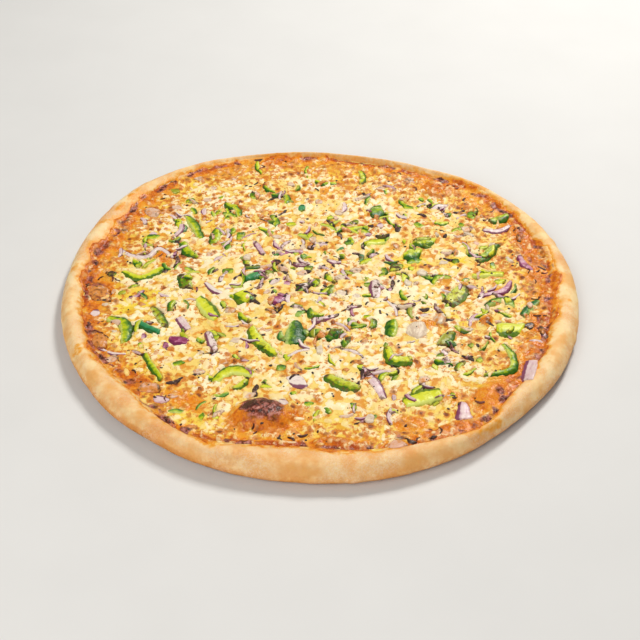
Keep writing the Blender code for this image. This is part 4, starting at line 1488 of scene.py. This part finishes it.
def make_oven_freckles():
    """Soft golden freckles with browner middles, where raised shreds caught the heat."""
    inputs = {"Colour": (0.9, 0.7, 0.4), "Browning": 0.5}
    outputs = {"Colour": "Color", "Height": "Float"}
    recipe, given, result = new_effect("oven_freckles", inputs, outputs)
    warp = recipe.mottle(2.4, 3.0, 0.6, output="Color")
    place = recipe.nodes.new("ShaderNodeVectorMath")
    place.operation = "MULTIPLY_ADD"
    recipe.connect(warp, place.inputs[0])
    place.inputs[1].default_value = (FRECKLE_WARP * MM,) * 3
    recipe.connect(recipe.place, place.inputs[2])
    dots = recipe.nodes.new("ShaderNodeTexVoronoi")
    recipe.connect(place.outputs[0], dots.inputs["Vector"])
    dots.inputs["Scale"].default_value = 1.0 / (FRECKLE_SPACING * MM)
    split = recipe.nodes.new("ShaderNodeSeparateColor")
    recipe.connect(dots.outputs["Color"], split.inputs["Color"])
    chosen = recipe.math("SUBTRACT", given["Browning"], split.outputs["Red"])
    size = recipe.between(chosen, 0.0, 0.5, 0.16, 0.56)
    inside = recipe.math("SUBTRACT", size, dots.outputs["Distance"])
    strength = recipe.between(split.outputs["Green"], 0.0, 0.8, 0.6, 1.0)
    present = recipe.math("MULTIPLY", recipe.between(chosen, 0.0, 0.06), strength)
    halo = recipe.math("MULTIPLY", recipe.between(inside, -0.16, 0.1), present)
    core = recipe.math("MULTIPLY", recipe.between(inside, 0.12, 0.36), present)
    scorched = recipe.mottle(3.0, 4.0, 0.62)
    heat = recipe.math("MULTIPLY_ADD", given["Browning"], 0.3, -0.165)
    level = recipe.math("ADD", scorched, heat)
    stain = recipe.between(level, 0.53, 0.60)
    deeper = recipe.between(level, 0.56, 0.66)
    stained = recipe.blend(deeper, (0.82, 0.34, 0.035), (0.62, 0.15, 0.008))
    colour = recipe.blend(recipe.math("MULTIPLY", stain, 0.9), given["Colour"], stained)
    colour = recipe.blend(recipe.math("MULTIPLY", halo, 0.95), colour, (0.64, 0.185, 0.008))
    caught = recipe.between(level, 0.66, 0.8)
    colour = recipe.blend(recipe.math("MULTIPLY", caught, 0.7), colour, (0.45, 0.14, 0.02))
    colour = recipe.blend(recipe.math("MULTIPLY", core, 0.85), colour, (0.15, 0.028, 0.005))
    recipe.connect(colour, result["Colour"])
    recipe.connect(recipe.math("ADD", halo, stain), result["Height"])
    return recipe.tree


oven_freckles = make_oven_freckles()


def melted_cheese():
    """Cream shreds over golden hollows that also carry painted shade, with fat, freckles, oil and
    scorched crusts.
    """
    finish = Finish("melted_cheese")
    ridge_and_crease_shade = finish.mask("ridge_and_crease_shade")
    tone = finish.mask("tone")
    oil = finish.mask("oil")
    scorch = finish.mask("scorch")
    pool = finish.mask("pool")
    browning = finish.mask("browning")
    patch = finish.mottle(7.0, 3.0, 0.6)
    grain = finish.mottle(1.5, 3.0, 0.6)
    # Cream shreds, some paler and some rosier, over golden and browner hollows that double as
    # painted shade
    region = finish.math("MULTIPLY_ADD", finish.mottle(24.0, 2.0, 0.5), 6.0, -2.65)
    paleness = finish.math("MULTIPLY_ADD", tone, 0.6, region)
    pale = finish.between(paleness, -1.0, 1.0)
    cream = finish.blend(pale, (0.935, 0.67, 0.18), (1.0, 0.875, 0.55))
    # Painted shade: low and creased places, where the relief and its crease term fall, take the
    # darker hollow colour
    lit = finish.math("ADD", ridge_and_crease_shade, finish.math("MULTIPLY_ADD", grain, 0.36, -0.18))
    sunken = finish.between(patch, 0.49, 0.61)
    hollow_tone_and_shade = finish.blend(sunken, (0.90, 0.645, 0.16), (0.75, 0.30, 0.02))
    rosy_patch = finish.between(finish.mottle(11.0, 2.0, 0.5), 0.5, 0.66, 0.0, 0.5)
    cream = finish.blend(rosy_patch, cream, (0.93, 0.68, 0.42))
    open_patch = finish.math("MULTIPLY_ADD", finish.mottle(19.0, 2.0, 0.5), -1.5, 0.75)
    raised = finish.between(finish.math("SUBTRACT", lit, open_patch), 0.0, 0.44)
    layer = finish.blend(raised, hollow_tone_and_shade, cream)
    # Clear yellow fat between the shreds, then freckles, the thin edge and the oil
    fat = finish.math("MULTIPLY", pool, finish.between(lit, 0.2, 0.9, 0.85, 0.2))
    deeper = finish.between(browning, 0.35, 0.9)
    fat_tone = finish.blend(deeper, (0.90, 0.67, 0.045), (0.90, 0.52, 0.03))
    layer = finish.blend(fat, layer, fat_tone)
    freckled = finish.use(oven_freckles, Colour=layer, Browning=browning)
    thin = finish.math("MULTIPLY", finish.mask("thin"), 0.9)
    worn = finish.blend(thin, freckled["Colour"], (0.93, 0.60, 0.25))
    oily = finish.use(oily_edge, Colour=worn, Oil=oil, Depth=lit)
    # Crusts where the cheese or the sauce scorched, nearly black at their middles
    caught = finish.math("ADD", scorch, finish.math("MULTIPLY_ADD", grain, 0.9, -0.45))
    burnt = finish.between(caught, 0.15, 0.95)
    speckle = finish.mottle(2.6, 4.0, 0.66)
    crusted = finish.ramp(
        speckle,
        [
            (0.41, (0.05, 0.013, 0.008)),
            (0.5, (0.24, 0.055, 0.028)),
            (0.58, (0.46, 0.15, 0.12)),
            (0.7, (0.66, 0.33, 0.25)),
        ],
    )
    colour = finish.blend(burnt, oily["Colour"], crusted)
    colour = finish.blend(finish.between(caught, 0.95, 1.4, 0.0, 0.9), colour, (0.06, 0.018, 0.01))
    shine = finish.math("ADD", oily["Wet"], finish.math("MULTIPLY", grain, 0.6))
    roughness = finish.between(shine, 0.2, 1.2, 0.5, 0.24)
    relief = finish.math("MULTIPLY_ADD", freckled["Height"], 0.25, grain)
    finish.bump(relief, 0.6, 0.7)
    return finish.done(
        colour, roughness, Coat_Weight=0.04, Coat_Roughness=0.2, Specular_IOR_Level=0.25
    )


def cheese_masks(x, y, angles, to_edge, to_rim, ridge_and_crease_shade, tone):
    """Where the cheese is oily, scorched, pooled with fat, browned and thin; its relief, with
    painted crease shade, passes through.
    """
    ragged = 0.55 * lumps(x, y, 20.0, 8.0) + 0.3 * lumps(x, y, 33.0, 3.2)
    ring = bulged(OILY_RING, OILY_RING_BULGES, angles)
    near_rim = soft_step(1.3, 0.3, to_rim / ring + 0.7 * ragged)
    oiliness = 1.3 * lumps(x, y, 130.0, 13.0) + bulged(0.0, OILY_SIDES, angles)
    near_rim *= 0.95 * soft_step(-0.25, 0.3, oiliness)
    oil = np.maximum(spread_of(x, y, OILY_PATCHES, ragged), near_rim)
    rusty = soft_step(4.5, 0.8, np.abs(to_rim - 1.0) + 2.0 * lumps(x, y, 71.0, 5.0))
    broken = soft_step(-0.3, 0.2, lumps(x, y, 77.0, 12.0) + 0.3 * ragged)
    oil = np.maximum(oil, 1.3 * rusty * broken)
    scorch = spread_of(x, y, SCORCHES, 0.5 * ragged, 0.9)
    scorch = np.maximum(scorch, 0.95 * rusty * soft_step(0.0, 0.3, lumps(x, y, 91.0, 6.0)))
    pool = spread_of(x, y, POOLS, ragged)
    pool = np.maximum(pool, 0.8 * soft_step(34.0, 8.0, to_rim + 9.0 * ragged))
    back = soft_step(-60.0, 120.0, y)
    browning = 0.32 + 0.13 * soft_step(35.0, 105.0, np.hypot(x, y)) + 0.1 * back
    browning += 0.42 * lumps(x, y, 80.0, 26.0) + 0.25 * oil
    browning += 0.2 * soft_step(40.0, 8.0, to_rim)
    far_side = soft_step(-0.2, 0.6, np.sin(np.radians(angles)))
    browning += 0.2 * soft_step(26.0, 5.0, to_rim) * far_side
    browning = np.minimum(browning, 0.8)
    from_edge = to_edge + 2.5 * lumps(x, y, 44.0, 5.0)
    thin = soft_step(4.0, 0.0, from_edge) * soft_step(2.0, -1.5, to_rim)
    masks = {"ridge_and_crease_shade": ridge_and_crease_shade, "tone": tone, "oil": oil, "scorch": scorch}
    return {**masks, "pool": pool, "browning": browning, "thin": thin}


cheese_finish = melted_cheese()


def fold_under(points, angles):
    """Close the layer: its edge folds under, down the rim's inner side to a flat base."""
    n = CHEESE_GRID
    faces = net_faces(n)
    near_row, right_column = range(n), range(2 * n - 1, n * n, n)
    far_row, left_column = range(n * n - 2, n * n - n - 1, -1), range(n * n - 2 * n, 0, -n)
    edge = [*near_row, *right_column, *far_row, *left_column]
    rim = points[edge]
    tuck = inner_radius(angles[edge]) - SIDE_GAP
    foot = tuck - FLOOR_TO_RIM * (1.0 - GAP / (CHEESE_EDGE - FLOOR))
    reach = np.hypot(rim[:, 0], rim[:, 1])
    skirt = [edge]
    for radius, level in (
        (reach, rim[:, 2] - LIP),
        (tuck, np.full(len(edge), FOLD_LEVEL)),
        (foot, np.full(len(edge), FLOOR + GAP)),
    ):
        ring = np.stack([rim[:, 0] * radius / reach, rim[:, 1] * radius / reach, level], axis=-1)
        skirt.append(list(range(len(points), len(points) + len(edge))))
        points = np.vstack([points, ring])
    centre = len(points)
    points = np.vstack([points, [[0.0, 0.0, FLOOR + GAP]]])
    for k in range(len(edge)):
        after = (k + 1) % len(edge)
        for upper, lower in zip(skirt, skirt[1:]):
            faces.append((lower[k], lower[after], upper[after], upper[k]))
        faces.append((skirt[-1][after], skirt[-1][k], centre))
    return points, faces


def make_cheese():
    """The melted layer: shreds and lumps, lapped up the sides of the toppings."""
    x, y, angles, to_edge = cheese_grid(CHEESE_GRID)
    bed_height, to_rim = cheese_base(x, y, angles)
    nearness, topping_height = read_field(near_field, x, y), read_field(top_field, x, y)
    domes = np.zeros(x.shape)
    for dome in DOMES:
        domes = np.maximum(domes, soft_step(0.0, 0.3, oval(x, y, dome)))
    lap = np.minimum(0.64 + 0.5 * lumps(x, y, 50.0, 4.5), 0.84)
    uncovered = soft_step(lap, lap - 0.22, nearness)
    keep = (1.0 - 0.75 * domes) * soft_step(0.0, 5.0, to_edge)
    relief, tone = melt_shreds(x, y, keep)
    crumbly = lumps(x, y, 60.0, 2.8)
    # The relief plus a sharpening term that dips in creases, so the shader paints shade into them
    ridge_and_crease_shade = relief + 0.8 * (relief - blurred(relief, 2))
    height = bed_height + relief + 0.16 * crumbly * soft_step(0.0, 2.0, to_rim)
    height = height + 0.5 * domes * lumps(x, y, 12.0, 4.0)
    reach_up = soft_step(0.02, 0.5, nearness) * (0.72 + 0.3 * lumps(x, y, 90.0, 5.0))
    lapped = height + (topping_height + LAP + 0.3 * relief - height) * reach_up
    height = np.where(nearness > 0.01, np.maximum(height, lapped), height)
    height = height * uncovered + (bed_height - PRESSED) * (1.0 - uncovered)
    for place in zip(*np.nonzero(to_rim < 1.5)):
        film = FILM * min(1.0, 0.6 * to_edge[place] - 0.35) + 0.4 * relief[place]
        lowest = top_of(dough_surface, x[place], y[place]) + film
        height[place] = max(height[place] if to_rim[place] > 0.0 else 0.0, lowest)
    height = np.minimum(height, TALLEST)
    masks = cheese_masks(x, y, angles, to_edge, to_rim, ridge_and_crease_shade, tone)
    points = np.stack([x, y, height], axis=-1).reshape(-1, 3)
    points, faces = fold_under(points, angles.ravel())
    extra = len(points) - x.size
    masks = {label: np.append(values.ravel(), np.zeros(extra)) for label, values in masks.items()}
    return make_piece("melted_cheese", points, faces, cheese_finish, masks, ["cheese"])


cheese = make_cheese()
surfaces.append(surface_of(cheese))


# The loose shreds and the specks
# The last of the grated cheese fell over the toppings and melted across their edges, and
# short threads of it burnt near the rim. Cracked pepper and crumbs lie over everything.
STRAND_COUNT = 200
BURNT_COUNT = 90
STRANDS_OUT_TO = 140.0
BURNT_OUT_TO = 149.0
STRAND_SECTION = 10
STRAND_CROWN = 0.15
SPECK_COUNT = 240
SPECK_SIDES = 7
SPECKS_OUT_TO = 136.0
# From a speck's foot to its top: share of its outline, height above what it lies on
SPECK_LEVELS = [(0.85, -0.25), (1.0, 0.08), (0.6, 0.32)]
# Specks that the photo shows one by one
SPECK_PLACES = [
    (-22, -134), (-14, -134), (-7, -135), (64, -134), (75, -135), (-33, 150), (-103, 115),
    (-120, 88), (-27, 7), (-12, 3), (5, 7), (5, 14), (8, 18), (16, -13),
]


def shred_places(draw):
    """Random places, most of them close to a topping, and those of burnt threads by the rim."""
    spots = []
    lines = [line for _, line, _ in (*PEPPERS, *ONIONS, *CHICKEN)]
    bits = [(bit[0], bit[1]) for bit in (*PEPPER_BITS, *ONION_BITS, *CHICKEN_BITS)]
    for k in range(STRAND_COUNT):
        if k % 3 == 0:
            x, y = draw.choice(draw.choice(lines))
        elif k % 3 == 1:
            x, y = draw.choice(bits)
        else:
            reach = (STRANDS_OUT_TO - 2.0) * math.sqrt(draw.random())
            turn = draw.uniform(0.0, math.tau)
            x, y = reach * math.cos(turn), reach * math.sin(turn)
        spots.append((x + draw.gauss(0.0, 4.0), y + draw.gauss(0.0, 4.0), False))
    for k in range(BURNT_COUNT):
        turn = draw.gauss(0.0, 0.7) + (math.pi if k % 2 else 0.0)
        turn = draw.uniform(0.0, math.tau) if k % 3 == 0 else turn
        edge = float(inner_radius(np.array([math.degrees(turn) % 360.0]))[0])
        reach = edge - abs(draw.gauss(0.0, 10.0))
        spots.append((reach * math.cos(turn), reach * math.sin(turn), True))
    return spots


def scatter_shreds():
    """Short threads of cheese that lie over what is there, some of them burnt."""
    draw = random.Random(31)
    batch = Batch()
    for x, y, burnt in shred_places(draw):
        out_to = BURNT_OUT_TO if burnt else STRANDS_OUT_TO
        if math.hypot(x, y) > out_to or oval(x, y, DOMES[0]) > -0.3:
            continue
        if read_field(near_field, np.array([x]), np.array([y]))[0] > 0.6:
            continue
        length = draw.uniform(1.6, 6.5)
        lean = draw.uniform(0.0, math.tau)
        bend = draw.uniform(-0.25, 0.25) * length
        along = Vector((math.cos(lean), math.sin(lean))) * (0.5 * length)
        side = Vector((-math.sin(lean), math.cos(lean))) * bend
        middle = Vector((x, y)) + side
        line = [tuple(Vector((x, y)) - along), tuple(middle), tuple(Vector((x, y)) + along)]
        width = draw.uniform(0.8, 1.5) if burnt else draw.uniform(1.6, 3.2)
        thickness = draw.uniform(0.25, 0.6)
        tint = draw.uniform(-1.0, 1.0)
        widths = (0.6 * width, width, 0.7 * width)
        points, faces, masks = lay_strip(
            widths, line, thickness, STRAND_CROWN, surfaces, {}, 0.5, STRAND_SECTION
        )
        count = len(points)
        # Painted shade: the thread's top counts as raised and its sides as hollow, so its sides
        # take the darker hollow colour
        ridge_and_crease_shade = [0.75 if high > 0.0 else 0.2 for high in masks["up"]]
        oil = [0.12 + 0.25 * soft_step(105.0, 138.0, math.hypot(x, y))] * count
        scorched = draw.uniform(1.0, 1.7) if burnt else 0.0
        masks = {"ridge_and_crease_shade": ridge_and_crease_shade, "tone": [tint] * count, "oil": oil}
        masks.update({"scorch": [scorched] * count, "browning": [0.45] * count})
        batch.add(points, faces, masks)
    return batch.finish("loose_shreds", cheese_finish, "cheese")


shreds = scatter_shreds()
surfaces.append(surface_of(shreds))


def burnt_crumb():
    """A nearly black crumb with browner spots."""
    finish = Finish("burnt_crumb")
    grain = finish.mottle(0.6, 2.0, 0.6)
    colour = finish.ramp(
        grain,
        [(0.35, (0.012, 0.008, 0.006)), (0.6, (0.07, 0.03, 0.015)), (0.8, (0.2, 0.08, 0.03))],
    )
    finish.bump(grain, 0.3, 0.8)
    return finish.done(colour, 0.6)


def scatter_specks():
    """Small low crumbs with a few sides, at the seen places and at random ones."""
    draw = random.Random(47)
    batch = Batch()
    spots = [(x - MIDDLE[0], y - MIDDLE[1]) for x, y in SPECK_PLACES]
    for _ in range(SPECK_COUNT):
        reach = SPECKS_OUT_TO * draw.random() ** 0.6
        turn = draw.uniform(0.0, math.tau)
        spots.append((reach * math.cos(turn), reach * math.sin(turn)))
    for x, y in spots:
        size = 0.35 + 0.75 * draw.random() ** 2.5
        stretch = draw.uniform(1.0, 2.0)
        lean = draw.uniform(0.0, math.pi)
        low = height_under(surfaces, x, y)
        points = []
        for share, rise in SPECK_LEVELS:
            for k in range(SPECK_SIDES):
                turn = math.tau * k / SPECK_SIDES
                reach = size * share * draw.uniform(0.8, 1.2)
                along, across = reach * stretch * math.cos(turn), reach * math.sin(turn)
                px = x + along * math.cos(lean) - across * math.sin(lean)
                py = y + along * math.sin(lean) + across * math.cos(lean)
                points.append((px, py, min(low + rise, TALLEST)))
        faces = ring_faces(len(SPECK_LEVELS), SPECK_SIDES)
        faces.append(tuple(reversed(range(SPECK_SIDES))))
        faces.append(tuple(range(len(points) - SPECK_SIDES, len(points))))
        batch.add(points, faces, {})
    return batch.finish("dark_specks", burnt_crumb(), "cheese")


scatter_specks()


# The floor, the light and the camera
# A plain pale floor under soft light from above and behind, as from a window, with a
# weaker fill from the front. The camera looks down at the photo's angle.
CAMERA_LENS = 67.5
CAMERA_HEIGHT_ANGLE = math.radians(40.4)
CAMERA_DISTANCE = 0.756
CAMERA_TARGET = Vector((0.0004, -0.0188, 0.0))

floor_mesh = bpy.data.meshes.new("floor")
floor_mesh.from_pydata([(-3, -3, 0), (3, -3, 0), (3, 3, 0), (-3, 3, 0)], [], [(0, 1, 2, 3)])
floor = bpy.data.objects.new("floor", floor_mesh)
bpy.context.scene.collection.objects.link(floor)
floor.location.z = -0.0003
floor_finish = Finish("pale_floor")
floor_grain = floor_finish.mottle(60.0, 3.0)
floor_tone = floor_finish.blend(floor_grain, (0.70, 0.69, 0.67), (0.75, 0.74, 0.72))
floor_mesh.materials.append(floor_finish.done(floor_tone, 0.8))


def soft_light(name, place, size, power, colour):
    """A square light that points at the middle of the pizza."""
    light = bpy.data.lights.new(name, "AREA")
    light.size = size
    light.energy = power
    light.color = colour
    lamp = bpy.data.objects.new(name, light)
    bpy.context.scene.collection.objects.link(lamp)
    lamp.location = place
    lamp.rotation_euler = (-Vector(place)).to_track_quat("-Z", "Y").to_euler()


soft_light("key", (0.45, 0.75, 1.0), 0.3, 13.5, (1.0, 0.985, 0.95))
soft_light("fill", (-0.5, -0.9, 0.8), 0.9, 9.5, (1.0, 0.985, 0.96))
world = bpy.data.worlds.new("room")
world.use_nodes = True
world.node_tree.nodes["Background"].inputs["Color"].default_value = (1.0, 0.99, 0.97, 1.0)
world.node_tree.nodes["Background"].inputs["Strength"].default_value = 0.24
bpy.context.scene.world = world
bpy.context.scene.view_settings.view_transform = "Standard"

lens = bpy.data.cameras.new("camera")
lens.lens = CAMERA_LENS
camera = bpy.data.objects.new("camera", lens)
bpy.context.scene.collection.objects.link(camera)
back = Vector((0.0, -math.cos(CAMERA_HEIGHT_ANGLE), math.sin(CAMERA_HEIGHT_ANGLE)))
camera.location = CAMERA_TARGET + back * CAMERA_DISTANCE
camera.rotation_euler = back.to_track_quat("Z", "Y").to_euler()
bpy.context.scene.camera = camera
